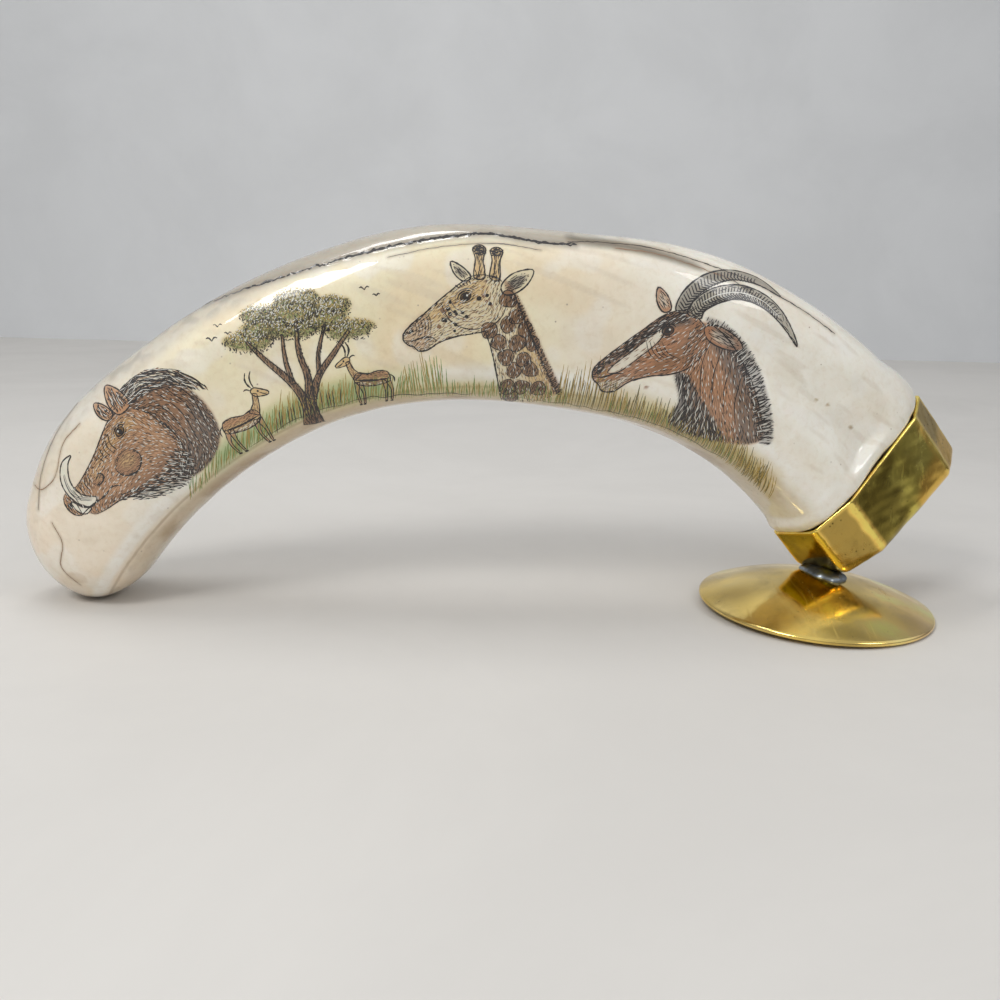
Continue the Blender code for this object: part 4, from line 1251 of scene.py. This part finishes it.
def cap_profile():
    """Inset, share of the depth, added depth and pull from the middle, row by row."""
    rim, part = CAP_RIM_ROUND, ROUND_SHARE * CAP_RIM_ROUND
    rows = [(CAP_WALL, 1.0, -CAP_FLOOR, pull) for pull in (0.0, 0.5, 0.95)]
    rows += [(CAP_WALL, share, -CAP_FLOOR * (share == 1.0), 1.0) for share in (1.0, 0.9, 0.6, 0.3)]
    for inset, lift in ((CAP_WALL, rim), (CAP_WALL - rim + part, part), (CAP_WALL - rim, 0.0), (rim, 0.0),
                        (part, part)):
        rows.append((inset, 0.0, lift, 1.0))
    for share in np.linspace(0.0, 1.0, CAP_WALL_ROWS + 1):
        rows.append((0.0, share, rim * (1 - share) - CAP_BOTTOM_RADIUS * share, 1.0))
    for turn in np.linspace(0.0, 0.5 * math.pi, CAP_BOTTOM_ROWS + 1)[1:]:
        inset = CAP_BOTTOM_RADIUS * (1 - math.cos(turn))
        rows.append((inset, 1.0, -CAP_BOTTOM_RADIUS * (1 - math.sin(turn)), 1.0))
    rows += [(CAP_BOTTOM_RADIUS, 1.0, 0.0, pull) for pull in np.linspace(0.94, 0.0, CAP_CLOSING_ROWS)]
    return rows


def cap_tones(points, centre, long_side, short_side, along):
    """Cap tints: a dark front and golden sides as painted reflections, bright folds as painted highlights."""
    x, y, depth = [(points - centre) @ way for way in (long_side, short_side, along)]
    cloud = drift(points, 5.0, 33)
    main = smooth_step(-9.9, -10.5, y) * band(x, -10.6, -9.6, 12.2, 13.2)
    end = smooth_step(-18.4, -19.1, x)
    right = smooth_step(1.0, 5.0, x + 2.0 * cloud)
    tones = np.broadcast_to(np.array(CAP_TONE), points.shape).copy()
    layers = [
        # the wide front wall: painted reflection, darker to its left, golden to its right
        ((0.94, 1.00, 0.84), main),
        ((0.60, 0.61, 0.48), 0.9 * main * smooth_step(-0.9, 1.1, cloud + 0.10 * (2.0 - x))),
        ((0.98, 1.06, 0.98), 0.6 * main * smooth_step(4.0, 10.0, x + 1.5 * cloud)),
        # the end wall: painted reflection, darker further down; and a painted highlight along the lower edge
        ((0.76, 0.78, 0.12), end),
        ((0.50, 0.46, 0.10), end * smooth_step(3.0, 11.0, depth + 2.0 * cloud)),
        ((1.04, 0.97, 0.80), 0.9 * smooth_step(8.8, 11.4, depth + 0.16 * x) * right),
    ]
    # painted highlights along the folds and round the rim
    for corner in CAP_CORNERS:
        gap = np.hypot(x - corner[0], y - corner[1])
        layers.append((PAINTED_HIGHLIGHT_TONE, smooth_step(1.6, 0.7, gap + 0.25 * cloud)))
    layers.append((PAINTED_HIGHLIGHT_TONE, smooth_step(0.75, 0.35, depth - RIM_TILT * y)))
    for colour, cover in layers:
        tones += (np.array(colour) - tones) * np.clip(cover, 0.0, 1.0)[..., None]
    return tones


def make_cap(material):
    """The folded sleeve: a lip, eight walls with soft folds and a rounded lower edge."""
    centre, long_side, short_side = section_frames(np.array([ARC_LENGTH]))
    along = np.cross(short_side[0], long_side[0])
    rows = []
    for inset, share, offset, pull in cap_profile():
        ring = cap_ring(inset, max(CAP_FOLD_RADIUS - 0.4 * inset, 0.3)) * pull
        depth = share * (CAP_DEPTH + CAP_DEPTH_SLOPE * ring[:, :1]) + offset
        depth = depth + (1.0 - share) * RIM_TILT * ring[:, 1:]
        rows.append(centre[0] + ring[:, :1] * long_side[0] + ring[:, 1:] * short_side[0] + depth * along)
    points = np.array(rows)
    normals = grid_normals(points)
    outer = np.zeros(len(rows))
    outer[CAP_INNER_ROWS:] = 1.0
    # The cap's tones hold painted reflections of its walls and painted highlights on its folds and rim
    tones = cap_tones(points, centre[0], long_side[0], short_side[0], along)
    dents = CAP_DENT * drift(points, 9.0, 31) + 0.4 * CAP_DENT * drift(points, 3.2, 32)
    points = points + normals * (dents * outer[:, None])[..., None]
    piece = rolled_grid("folded_brass_cap", points)
    store_colours(piece, "tone", tones)
    close_seams()
    finish_piece(piece, material, "cap_brass", "brass_cap")


def disc_place(points):
    """World place, in mm, of points given on the disc's own tipped axis."""
    lift = DISC_RADIUS * math.sin(DISC_TILT)
    x, y, z = points[..., 0], points[..., 1], points[..., 2]
    return np.stack([
        DISC_CENTRE[0] + x * math.cos(DISC_TILT) + z * math.sin(DISC_TILT),
        DISC_CENTRE[1] + y,
        lift - x * math.sin(DISC_TILT) + z * math.cos(DISC_TILT),
    ], -1)


def dome(radius):
    """Height of the disc's dome over its rim."""
    return DISC_DOME * (1.0 - (radius / DISC_RADIUS) ** 2)


def disc_profile():
    """Radius and height of the disc's edge rings, from its landing over the rim to its top."""
    rim, part = DISC_RIM_ROUND, ROUND_SHARE * DISC_RIM_ROUND
    rings = []
    for share in np.linspace(0.0, 1.0, DISC_HOLLOW_RINGS + 1)[1:]:
        rings.append(((DISC_RADIUS - DISC_LANDING) * share, DISC_DOME * (1 - share**2)))
    for inset, height in ((rim, 0.0), (part, part), (0.0, rim), (0.0, DISC_SHEET - rim),
                          (part, DISC_SHEET - part)):
        rings.append((DISC_RADIUS - inset, height))
    for radius in np.linspace(DISC_RADIUS - rim, DISC_MIDDLE, DISC_RINGS):
        rings.append((radius, DISC_SHEET + dome(radius)))
    return rings


def make_disc(material):
    """The base disc: a circle drawn out ring by ring and closed at both middles."""
    deselect_all()
    rings = disc_profile()
    radius, height = rings[0]
    bpy.ops.mesh.primitive_circle_add(
        vertices=DISC_POINTS, radius=radius * MM, fill_type="TRIFAN", location=(0.0, 0.0, height * MM)
    )
    piece = bpy.context.object
    piece.name = piece.data.name = "domed_base_disc"
    bpy.ops.object.transform_apply(location=True)
    bpy.ops.object.mode_set(mode="EDIT")
    bpy.ops.mesh.select_all(action="SELECT")
    bpy.ops.mesh.region_to_loop()
    for wider, higher in rings[1:]:
        bpy.ops.mesh.extrude_edges_move()
        share = wider / radius
        bpy.ops.transform.resize(value=(share, share, 1.0), center_override=(0.0, 0.0, height * MM))
        bpy.ops.transform.translate(value=(0.0, 0.0, (higher - height) * MM))
        radius, height = wider, higher
    bpy.ops.mesh.merge(type="CENTER")
    bpy.ops.object.mode_set(mode="OBJECT")
    points = read_points(piece)
    reach = np.hypot(points[:, 0], points[:, 1])
    upper = points[:, 2] > 0.5 * DISC_SHEET + DISC_DOME * (1 - (reach / (DISC_RADIUS - DISC_LANDING)) ** 2)
    flat = points * (1.0, 1.0, 0.0)
    warp = DISC_WARP * (drift(flat, 16.0, 41) + 0.35 * drift(flat, 6.0, 42))
    points[:, 2] += warp * upper * smooth_step(DISC_RADIUS, DISC_RADIUS - DISC_WARP_REACH, reach)
    cloud = drift(flat, 12.0, 43)[:, None]
    right = smooth_step(4.0, 20.0, points[:, :1])
    store_colours(piece, "tone", 0.97 + 0.10 * cloud * DISC_CLOUD_TINT + right * DISC_RIGHT_TINT)
    write_points(piece, disc_place(points))
    close_seams()
    finish_piece(piece, material, "disc_brass", "base_disc")


def make_solder(material):
    """The solder: a flattened sphere that has run out over the disc and up the cap's edge."""
    deselect_all()
    bpy.ops.mesh.primitive_uv_sphere_add(segments=SOLDER_SEGMENTS, ring_count=SOLDER_RINGS, radius=MM)
    piece = bpy.context.object
    piece.name = piece.data.name = "solder_puddle"
    bpy.ops.object.mode_set(mode="EDIT")
    bpy.ops.mesh.select_all(action="SELECT")
    bpy.ops.transform.resize(value=SOLDER_HALF_SIZE)
    bpy.ops.transform.rotate(value=-SOLDER_TURN, orient_axis="Z", center_override=(0.0, 0.0, 0.0))
    bpy.ops.transform.translate(value=[length * MM for length in SOLDER_CENTRE])
    bpy.ops.object.mode_set(mode="OBJECT")
    points = read_points(piece)
    centre = np.array(SOLDER_CENTRE)
    ways = points - centre
    climb = np.clip(ways[:, 2] / SOLDER_HALF_SIZE[2], -1.0, 1.0)
    ways[:, :2] *= SOLDER_SPREAD - SOLDER_TAPER * climb[:, None]
    points = centre + ways * (1.0 + 0.09 * drift(points, 4.6, 51) + 0.02 * drift(points, 1.8, 52))[:, None]
    reach = np.hypot(points[:, 0] - DISC_CENTRE[0], points[:, 1] - DISC_CENTRE[1])
    points[:, 2] = np.maximum(points[:, 2], DISC_SHEET + dome(reach) + SOLDER_LIFT)
    write_points(piece, points)
    bpy.ops.object.shade_smooth()
    finish_piece(piece, material, "solder", "solder_joint")


# ---------------------------------------------------------------- materials

WHITE = (1.0, 1.0, 1.0)
BLACK = (0.0, 0.0, 0.0)
GREY = (0.5, 0.5, 0.5, 1.0)
STAIN_STRENGTH = 0.4
# Finish of the brass: roughness clean and stained, waves to the metre, and depths in mm
CAP_FINISH = {"roughness": (0.17, 0.32), "tone_scale": 90.0, "wave_scale": 120.0, "wave_depth": 0.13,
              "pit_size": 0.2}
DISC_FINISH = {"roughness": (0.13, 0.26), "tone_scale": 60.0, "wave_scale": 80.0, "wave_depth": 0.08,
               "pit_size": 0.12}


def feed(tree, socket, value):
    """Set a socket to a number or a colour, or link another node's output to it."""
    if isinstance(value, (int, float)):
        socket.default_value = value
    elif isinstance(value, tuple):
        socket.default_value = (*value, 1.0)[:4]
    else:
        tree.links.new(value, socket)


def new_group(name, inputs, outputs):
    """A shader node group with these inputs, each with its default, and these outputs."""
    tree = bpy.data.node_groups.new(name, "ShaderNodeTree")
    for label, default in inputs.items():
        kind = "NodeSocketColor" if isinstance(default, tuple) else "NodeSocketFloat"
        tree.interface.new_socket(label, in_out="INPUT", socket_type=kind).default_value = default
    for label in outputs:
        kind = "NodeSocketColor" if label == "Colour" else "NodeSocketFloat"
        tree.interface.new_socket(label, in_out="OUTPUT", socket_type=kind)
    return tree, tree.nodes.new("NodeGroupInput").outputs, tree.nodes.new("NodeGroupOutput").inputs


def noise(tree, scale, detail, roughness=0.55, stretch=None, turn=(0.0, 0.0, 0.0), distortion=0.0):
    """Noise on object coordinates; scale is a number, in waves to the metre, or a socket."""
    place = tree.nodes.new("ShaderNodeTexCoord").outputs["Object"]
    if stretch:
        mapping = tree.nodes.new("ShaderNodeMapping")
        mapping.inputs["Rotation"].default_value = turn
        mapping.inputs["Scale"].default_value = stretch
        feed(tree, mapping.inputs["Vector"], place)
        place = mapping.outputs["Vector"]
    node = tree.nodes.new("ShaderNodeTexNoise")
    values = {"Vector": place, "Scale": scale, "Detail": detail, "Roughness": roughness,
              "Distortion": distortion}
    for label, value in values.items():
        feed(tree, node.inputs[label], value)
    return node.outputs["Fac"]


def ranged(tree, value, low, high, to_low=0.0, to_high=1.0):
    """A value that rises smoothly from to_low to to_high as another goes from low to high."""
    node = tree.nodes.new("ShaderNodeMapRange")
    node.interpolation_type = "SMOOTHSTEP"
    values = {"Value": value, "From Min": low, "From Max": high, "To Min": to_low, "To Max": to_high}
    for label, number in values.items():
        feed(tree, node.inputs[label], number)
    return node.outputs["Result"]


def reckon(tree, operation, first, second):
    """Two values added, subtracted, multiplied or compared."""
    node = tree.nodes.new("ShaderNodeMath")
    node.operation = operation
    feed(tree, node.inputs[0], first)
    feed(tree, node.inputs[1], second)
    return node.outputs["Value"]


def mixed(tree, mask, first, second, blend_type="MIX"):
    """Two colours mixed by a mask."""
    node = tree.nodes.new("ShaderNodeMix")
    node.data_type = "RGBA"
    node.blend_type = blend_type
    for socket, value in ((node.inputs["Factor"], mask), (node.inputs[6], first), (node.inputs[7], second)):
        feed(tree, socket, value)
    return node.outputs[2]


def drifting_tone():
    """Group: two tones that drift into each other."""
    inputs = {"First": GREY, "Second": GREY, "Scale": 60.0, "Edge": 0.5}
    tree, source, target = new_group("drifting_tone", inputs, ("Colour", "Mask"))
    waves = noise(tree, source["Scale"], 6.0, roughness=0.6, distortion=0.4)
    low = reckon(tree, "SUBTRACT", source["Edge"], 0.16)
    high = reckon(tree, "ADD", source["Edge"], 0.16)
    mask = ranged(tree, waves, low, high)
    feed(tree, target["Colour"], mixed(tree, mask, source["First"], source["Second"]))
    feed(tree, target["Mask"], mask)
    return tree


def fine_scratches():
    """Group: long hairline scratches in three directions, as a height and a mask."""
    tree, source, target = new_group("fine_scratches", {"Scale": 900.0, "Amount": 0.12}, ("Height", "Mask"))
    low = reckon(tree, "SUBTRACT", 0.72, source["Amount"])
    total = 0.0
    for turn in ((0.3, 0.2, 0.5), (1.1, 0.4, -0.6), (-0.5, 1.2, 1.7)):
        waves = noise(tree, source["Scale"], 2.0, stretch=(1.0, 0.03, 0.25), turn=turn)
        total = reckon(tree, "MAXIMUM", total, ranged(tree, waves, low, 0.78))
    feed(tree, target["Mask"], total)
    feed(tree, target["Height"], reckon(tree, "MULTIPLY", total, -1.0))
    return tree


def small_pits():
    """Group: scattered small pits with dark bottoms."""
    tree, source, target = new_group("small_pits", {"Scale": 500.0, "Size": 0.18}, ("Height", "Mask"))
    cells = tree.nodes.new("ShaderNodeTexVoronoi")
    feed(tree, cells.inputs["Vector"], tree.nodes.new("ShaderNodeTexCoord").outputs["Object"])
    feed(tree, cells.inputs["Scale"], source["Scale"])
    edge = reckon(tree, "MULTIPLY", source["Size"], 0.35)
    pits = ranged(tree, cells.outputs["Distance"], edge, source["Size"], 1.0, 0.0)
    mask = reckon(tree, "MULTIPLY", pits, ranged(tree, noise(tree, 90.0, 2.0), 0.48, 0.6))
    feed(tree, target["Mask"], mask)
    feed(tree, target["Height"], reckon(tree, "MULTIPLY", mask, -1.0))
    return tree


def shared_group(name):
    """A shared node group, made when it is first asked for."""
    makers = {"drifting_tone": drifting_tone, "fine_scratches": fine_scratches, "small_pits": small_pits}
    return bpy.data.node_groups.get(name) or makers[name]()


def place_group(tree, name, **values):
    """Outputs of a shared group placed in a material with this material's own values."""
    node = tree.nodes.new("ShaderNodeGroup")
    node.node_tree = shared_group(name)
    for label, value in values.items():
        feed(tree, node.inputs[label], value)
    return node.outputs


def new_material(name, **constants):
    """A material's tree and its shader, with the values that are the same all over set on it."""
    material = bpy.data.materials.new(name)
    material.use_nodes = True
    shader = material.node_tree.nodes["Principled BSDF"].inputs
    for label, value in constants.items():
        feed(material.node_tree, shader[label.replace("_", " ")], value)
    return material, material.node_tree, shader


def add_bump(tree, shader, *layers):
    """Bump nodes one after another; each layer is a height, a distance in mm and a strength."""
    normal = None
    for height, distance, strength in layers:
        node = tree.nodes.new("ShaderNodeBump")
        feed(tree, node.inputs["Distance"], distance * MM)
        feed(tree, node.inputs["Strength"], strength)
        feed(tree, node.inputs["Height"], height)
        if normal:
            feed(tree, node.inputs["Normal"], normal)
        normal = node.outputs["Normal"]
    feed(tree, shader["Normal"], normal)


def painted(tree, name):
    """Colours stored on the mesh."""
    node = tree.nodes.new("ShaderNodeAttribute")
    node.attribute_name = name
    return node.outputs["Color"]


def ivory_material(settings):
    """Lacquered tooth: painted tones, cloudy depth, faint scratches under a clear coat."""
    material, tree, shader = new_material(
        "lacquered_ivory", Coat_Weight=settings.coat, Coat_Roughness=0.035, Coat_IOR=1.5, IOR=1.5,
        Subsurface_Weight=0.06, Subsurface_Scale=0.002,
    )
    clouds = place_group(tree, "drifting_tone", First=WHITE, Second=(0.93, 0.90, 0.86), Scale=150.0)
    colour = mixed(tree, 0.8, painted(tree, "skin"), clouds["Colour"], "MULTIPLY")
    fine = place_group(tree, "drifting_tone", First=WHITE, Second=(0.90, 0.86, 0.80), Scale=900.0, Edge=0.6)
    colour = mixed(tree, 0.6, colour, fine["Colour"], "MULTIPLY")
    pits = place_group(tree, "small_pits", Scale=420.0, Size=0.10)
    feed(tree, shader["Base Color"], mixed(tree, pits["Mask"], colour, (0.45, 0.36, 0.27)))
    feed(tree, shader["Roughness"], ranged(tree, fine["Mask"], 0.0, 1.0, 0.34, 0.5))
    scratches = place_group(tree, "fine_scratches", Scale=700.0, Amount=0.10)
    add_bump(
        tree, shader, (noise(tree, 130.0, 3.0), 0.25, 0.25), (noise(tree, 900.0, 3.0), 0.05, 0.2),
        (scratches["Height"], 0.03, 0.35),
    )
    return material


def ink_material(name, colour):
    """Ink rubbed into the cuts, under the same clear coat."""
    material, tree, shader = new_material(
        name + "_ink", Base_Color=tuple(colour), Coat_Weight=0.5, Coat_Roughness=0.05, IOR=1.45,
    )
    tone = place_group(tree, "drifting_tone", First=(0.35, 0.35, 0.35), Second=(0.6, 0.6, 0.6), Scale=800.0)
    feed(tree, shader["Roughness"], ranged(tree, tone["Mask"], 0.0, 1.0, 0.4, 0.6))
    add_bump(tree, shader, (noise(tree, 2500.0, 2.0), 0.02, 0.3))
    return material


def brass_material(name, bright, settings, roughness, tone_scale, wave_scale, wave_depth, pit_size):
    """Polished brass: bright and dull drifts, dark tarnish, pits, hairlines and shallow waves."""
    material, tree, shader = new_material(name, Metallic=1.0)
    dark = tuple(settings.dark)
    drifts = place_group(tree, "drifting_tone", First=tuple(bright), Second=tuple(settings.dull),
                         Scale=tone_scale)
    stains = place_group(tree, "drifting_tone", First=BLACK, Second=WHITE, Scale=2.6 * tone_scale, Edge=0.62)
    colour = mixed(tree, reckon(tree, "MULTIPLY", stains["Mask"], STAIN_STRENGTH), drifts["Colour"], dark)
    pits = place_group(tree, "small_pits", Scale=900.0, Size=pit_size)
    colour = mixed(tree, pits["Mask"], colour, tuple(0.35 * part for part in dark))
    # The stored tone multiplies the colour; on the cap it carries painted reflections and highlights
    feed(tree, shader["Base Color"], mixed(tree, 1.0, colour, painted(tree, "tone"), "MULTIPLY"))
    scratches = place_group(tree, "fine_scratches", Scale=800.0, Amount=0.14)
    rough = ranged(tree, stains["Mask"], 0.0, 1.0, roughness[0], roughness[1])
    scratched = reckon(tree, "MULTIPLY", scratches["Mask"], 0.12)
    feed(tree, shader["Roughness"], reckon(tree, "ADD", rough, scratched))
    add_bump(
        tree, shader, (noise(tree, wave_scale, 2.0), wave_depth, 1.0),
        (pits["Height"], 0.06, 0.6), (scratches["Height"], 0.02, 0.5),
    )
    return material


def solder_material():
    """Dull grey solder with a lumpy skin and pits."""
    material, tree, shader = new_material("dull_solder", Metallic=1.0)
    drifts = place_group(tree, "drifting_tone", First=(0.34, 0.38, 0.42), Second=(0.16, 0.18, 0.20),
                         Scale=300.0)
    feed(tree, shader["Base Color"], drifts["Colour"])
    feed(tree, shader["Roughness"], ranged(tree, drifts["Mask"], 0.0, 1.0, 0.3, 0.48))
    pits = place_group(tree, "small_pits", Scale=1500.0, Size=0.22)
    add_bump(tree, shader, (noise(tree, 400.0, 2.0), 0.08, 0.4), (pits["Height"], 0.05, 0.5))
    return material


def floor_material(name, colour):
    """Matt paper, a little cloudy."""
    material, tree, shader = new_material(name)
    soft = tuple(0.94 * part for part in colour)
    tone = place_group(tree, "drifting_tone", First=tuple(colour), Second=soft, Scale=9.0)
    feed(tree, shader["Base Color"], tone["Colour"])
    feed(tree, shader["Roughness"], ranged(tree, tone["Mask"], 0.0, 1.0, 0.55, 0.65))
    return material


# ---------------------------------------------------------------- settings

def colour_property(name, description, default):
    """A colour that a user may change."""
    return FloatVectorProperty(name=name, description=description, default=default, subtype="COLOR",
                               min=0.0, max=1.0)


class PictureSettings(bpy.types.PropertyGroup):
    """Inks of the engraved picture."""

    black: colour_property("Black ink", "Colour of the outlines and the dark cuts", (0.034, 0.029, 0.026))
    brown: colour_property("Brown ink", "Colour of the hide and fur cuts", (0.27, 0.155, 0.085))
    grey: colour_property("Grey ink", "Colour of the faint cuts", (0.16, 0.15, 0.14))
    green: colour_property("Green ink", "Colour of the grass", (0.22, 0.30, 0.09))
    gold: colour_property("Gold ink", "Colour of the dry grass", (0.42, 0.29, 0.08))
    olive: colour_property("Olive ink", "Colour of the ground lines", (0.17, 0.15, 0.07))
    pale: colour_property("Pale ink", "Colour of the scraped highlights", (0.70, 0.68, 0.60))


class TuskSettings(bpy.types.PropertyGroup):
    """Finish of the tusk."""

    coat: FloatProperty(name="Lacquer", description="Weight of the clear lacquer over the ivory", default=0.9,
                        min=0.0, max=1.0, subtype="FACTOR")


class BrassSettings(bpy.types.PropertyGroup):
    """Colours of the brass parts."""

    bright: colour_property("Bright brass", "Colour of clean polished brass", (0.86, 0.62, 0.20))
    disc: colour_property("Disc brass", "Colour of the clean brass of the disc", (1.0, 0.71, 0.18))
    dull: colour_property("Dull brass", "Colour of slightly tarnished brass", (0.80, 0.59, 0.20))
    dark: colour_property("Tarnish", "Colour of the darkest tarnish", (0.32, 0.24, 0.09))


class StageSettings(bpy.types.PropertyGroup):
    """Floor, backdrop and lights."""

    floor: colour_property("Floor", "Colour of the pale floor", (0.66, 0.63, 0.58))
    wall: colour_property("Backdrop", "Colour of the pale backdrop", (0.76, 0.765, 0.76))
    key: FloatProperty(name="Key light", description="Power of the main soft light", default=1.4,
                       min=0.0, unit="POWER")
    fill: FloatProperty(name="Fill light", description="Power of the second soft light", default=0.5,
                        min=0.0, unit="POWER")
    lens: FloatProperty(name="Focal length", description="Focal length of the camera", default=36.0,
                        min=1.0, unit="CAMERA")


# ---------------------------------------------------------------- operators

@functools.cache
def engravings():
    """Every figure of the picture, from the farthest to the nearest."""
    near = draw_gazelle("gazelle_near", 17, (-50.6, 37.6), 22.0, 0.9, 1.0)
    far = draw_gazelle("gazelle_far", 18, (-26.6, 46.4), 9.0, 0.8, -1.0)
    return (draw_ground(), draw_acacia(), near, far, draw_antelope(), draw_giraffe(), draw_warthog())


class ORNAMENT_OT_tusk(bpy.types.Operator):
    """Build the tusk and paint its ivory and the picture's washes"""

    bl_idname = "ornament.tusk"
    bl_label = "Tusk"

    def execute(self, context):
        washes = [wash for engraving in engravings() for wash in engraving.washes]
        make_tusk(washes, ivory_material(context.scene.ornament_tusk))
        return {"FINISHED"}


class ORNAMENT_OT_picture(bpy.types.Operator):
    """Cut the strokes of every figure into the tusk's front, one piece for each figure and ink"""

    bl_idname = "ornament.picture"
    bl_label = "Engraved picture"

    def execute(self, context):
        tusk = bpy.data.objects["engraved_tusk"]
        tree = BVHTree.FromObject(tusk, context.evaluated_depsgraph_get())
        inks = context.scene.ornament_picture
        materials = {}
        for engraving in engravings():
            for ink, strokes in engraving.strokes.items():
                if ink not in materials:
                    materials[ink] = ink_material(ink, getattr(inks, ink))
                landed = cast_strokes(tree, strokes)
                if not landed:
                    continue
                piece = stroke_mesh(engraving.name + "_" + ink + "_lines", landed, INK_RISES[ink])
                finish_piece(piece, materials[ink], "engraving_ink")
        return {"FINISHED"}


class ORNAMENT_OT_cap(bpy.types.Operator):
    """Build the folded brass cap"""

    bl_idname = "ornament.cap"
    bl_label = "Brass cap"

    def execute(self, context):
        brass = context.scene.ornament_brass
        make_cap(brass_material("cap_brass", brass.bright, brass, **CAP_FINISH))
        return {"FINISHED"}


class ORNAMENT_OT_disc(bpy.types.Operator):
    """Build the domed brass base disc"""

    bl_idname = "ornament.disc"
    bl_label = "Base disc"

    def execute(self, context):
        brass = context.scene.ornament_brass
        make_disc(brass_material("disc_brass", brass.disc, brass, **DISC_FINISH))
        return {"FINISHED"}


class ORNAMENT_OT_solder(bpy.types.Operator):
    """Build the solder between the cap and the disc"""

    bl_idname = "ornament.solder"
    bl_label = "Solder"

    def execute(self, context):
        make_solder(solder_material())
        return {"FINISHED"}


class ORNAMENT_OT_stage(bpy.types.Operator):
    """Lay the floor and backdrop, hang the soft lights and place the camera"""

    bl_idname = "ornament.stage"
    bl_label = "Stage"

    def execute(self, context):
        settings = context.scene.ornament_stage
        make_floor(settings)
        make_lights(settings)
        make_camera(settings)
        context.scene.view_settings.view_transform = "Standard"
        return {"FINISHED"}


class ORNAMENT_PT_panel(bpy.types.Panel):
    """Settings and build steps of the tusk ornament"""

    bl_idname = "ORNAMENT_PT_panel"
    bl_label = "Tusk Ornament"
    bl_space_type = "VIEW_3D"
    bl_region_type = "UI"
    bl_category = "Ornament"

    def draw(self, context):
        for attribute, _ in SETTINGS:
            box = self.layout.box()
            settings = getattr(context.scene, attribute)
            for label in settings.__annotations__:
                box.prop(settings, label)
        for operator in OPERATORS:
            self.layout.operator(operator.bl_idname)


# ---------------------------------------------------------------- stage

def add_light(name, place, target, size, power):
    """A soft rectangular light at a place, turned to a target, both in mm."""
    data = bpy.data.lights.new(name, "AREA")
    data.shape = "RECTANGLE"
    data.size, data.size_y = size[0] * MM, size[1] * MM
    data.energy = power
    light = bpy.data.objects.new(name, data)
    bpy.context.scene.collection.objects.link(light)
    light.location = Vector(place) * MM
    direction = (Vector(target) - Vector(place)).normalized()
    light.rotation_euler = direction.to_track_quat("-Z", "Y").to_euler()


def make_floor(settings):
    """A plain floor whose far edge is drawn up into a wall."""
    deselect_all()
    bpy.ops.mesh.primitive_plane_add(size=FLOOR_SIZE * MM)
    floor = bpy.context.object
    floor.name = floor.data.name = "floor"
    bpy.ops.object.mode_set(mode="EDIT")
    bpy.ops.mesh.select_all(action="DESELECT")
    bpy.ops.object.mode_set(mode="OBJECT")
    for edge in floor.data.edges:
        edge.select = all(floor.data.vertices[corner].co.y > 0.0 for corner in edge.vertices)
    bpy.ops.object.mode_set(mode="EDIT")
    bpy.ops.mesh.select_mode(type="EDGE")
    bpy.ops.mesh.extrude_edges_move(TRANSFORM_OT_translate={"value": (0.0, 0.0, WALL_HEIGHT * MM)})
    bpy.ops.object.mode_set(mode="OBJECT")
    floor.location.y = (FLOOR_BACK - 0.5 * FLOOR_SIZE) * MM
    bpy.ops.object.transform_apply(location=True)
    floor.data.materials.append(floor_material("pale_floor", settings.floor))
    floor.data.materials.append(floor_material("pale_wall", settings.wall))
    for face in floor.data.polygons:
        face.material_index = int(abs(face.normal.z) < 0.5)


def make_lights(settings):
    """A sky that is pale above and dark below, and the soft lights."""
    world = bpy.data.worlds.new("studio")
    bpy.context.scene.world = world
    world.use_nodes = True
    tree = world.node_tree
    background = tree.nodes["Background"].inputs
    direction = tree.nodes.new("ShaderNodeSeparateXYZ")
    feed(tree, direction.inputs["Vector"], tree.nodes.new("ShaderNodeTexCoord").outputs["Generated"])
    height = ranged(tree, direction.outputs["Z"], 0.0, 0.6)
    feed(tree, background["Color"], mixed(tree, height, SKY_LOW, SKY_HIGH))
    feed(tree, background["Strength"], SKY_STRENGTH)
    for name, (place, target, size, power, share) in LIGHTS.items():
        add_light(name, place, target, size, share * getattr(settings, power))


def make_camera(settings):
    """The camera, in front of the ornament and looking down on it."""
    data = bpy.data.cameras.new("camera")
    data.sensor_width = SENSOR_WIDTH
    data.lens = settings.lens
    data.clip_start = NEAREST_SEEN
    camera = bpy.data.objects.new("camera", data)
    bpy.context.scene.collection.objects.link(camera)
    turn = Matrix.Rotation(-CAMERA_YAW, 4, "Z") @ Matrix.Rotation(0.5 * math.pi - CAMERA_PITCH, 4, "X")
    place = Matrix.Translation(Vector(CAMERA_PLACE) * MM)
    camera.matrix_world = place @ turn @ Matrix.Rotation(CAMERA_ROLL, 4, "Z")
    bpy.context.scene.camera = camera


# ---------------------------------------------------------------- run

SETTINGS = (
    ("ornament_tusk", TuskSettings),
    ("ornament_picture", PictureSettings),
    ("ornament_brass", BrassSettings),
    ("ornament_stage", StageSettings),
)
OPERATORS = (
    ORNAMENT_OT_tusk, ORNAMENT_OT_picture, ORNAMENT_OT_cap, ORNAMENT_OT_disc, ORNAMENT_OT_solder,
    ORNAMENT_OT_stage,
)


def register():
    for attribute, group in SETTINGS:
        bpy.utils.register_class(group)
        setattr(bpy.types.Scene, attribute, PointerProperty(type=group))
    for operator in OPERATORS:
        bpy.utils.register_class(operator)
    bpy.utils.register_class(ORNAMENT_PT_panel)


def unregister():
    bpy.utils.unregister_class(ORNAMENT_PT_panel)
    for operator in reversed(OPERATORS):
        bpy.utils.unregister_class(operator)
    for attribute, group in reversed(SETTINGS):
        delattr(bpy.types.Scene, attribute)
        bpy.utils.unregister_class(group)


def main():
    register()
    bpy.ops.ornament.tusk()
    bpy.ops.ornament.picture()
    bpy.ops.ornament.cap()
    bpy.ops.ornament.disc()
    bpy.ops.ornament.solder()
    bpy.ops.ornament.stage()
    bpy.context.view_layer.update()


if __name__ == "__main__":
    main()
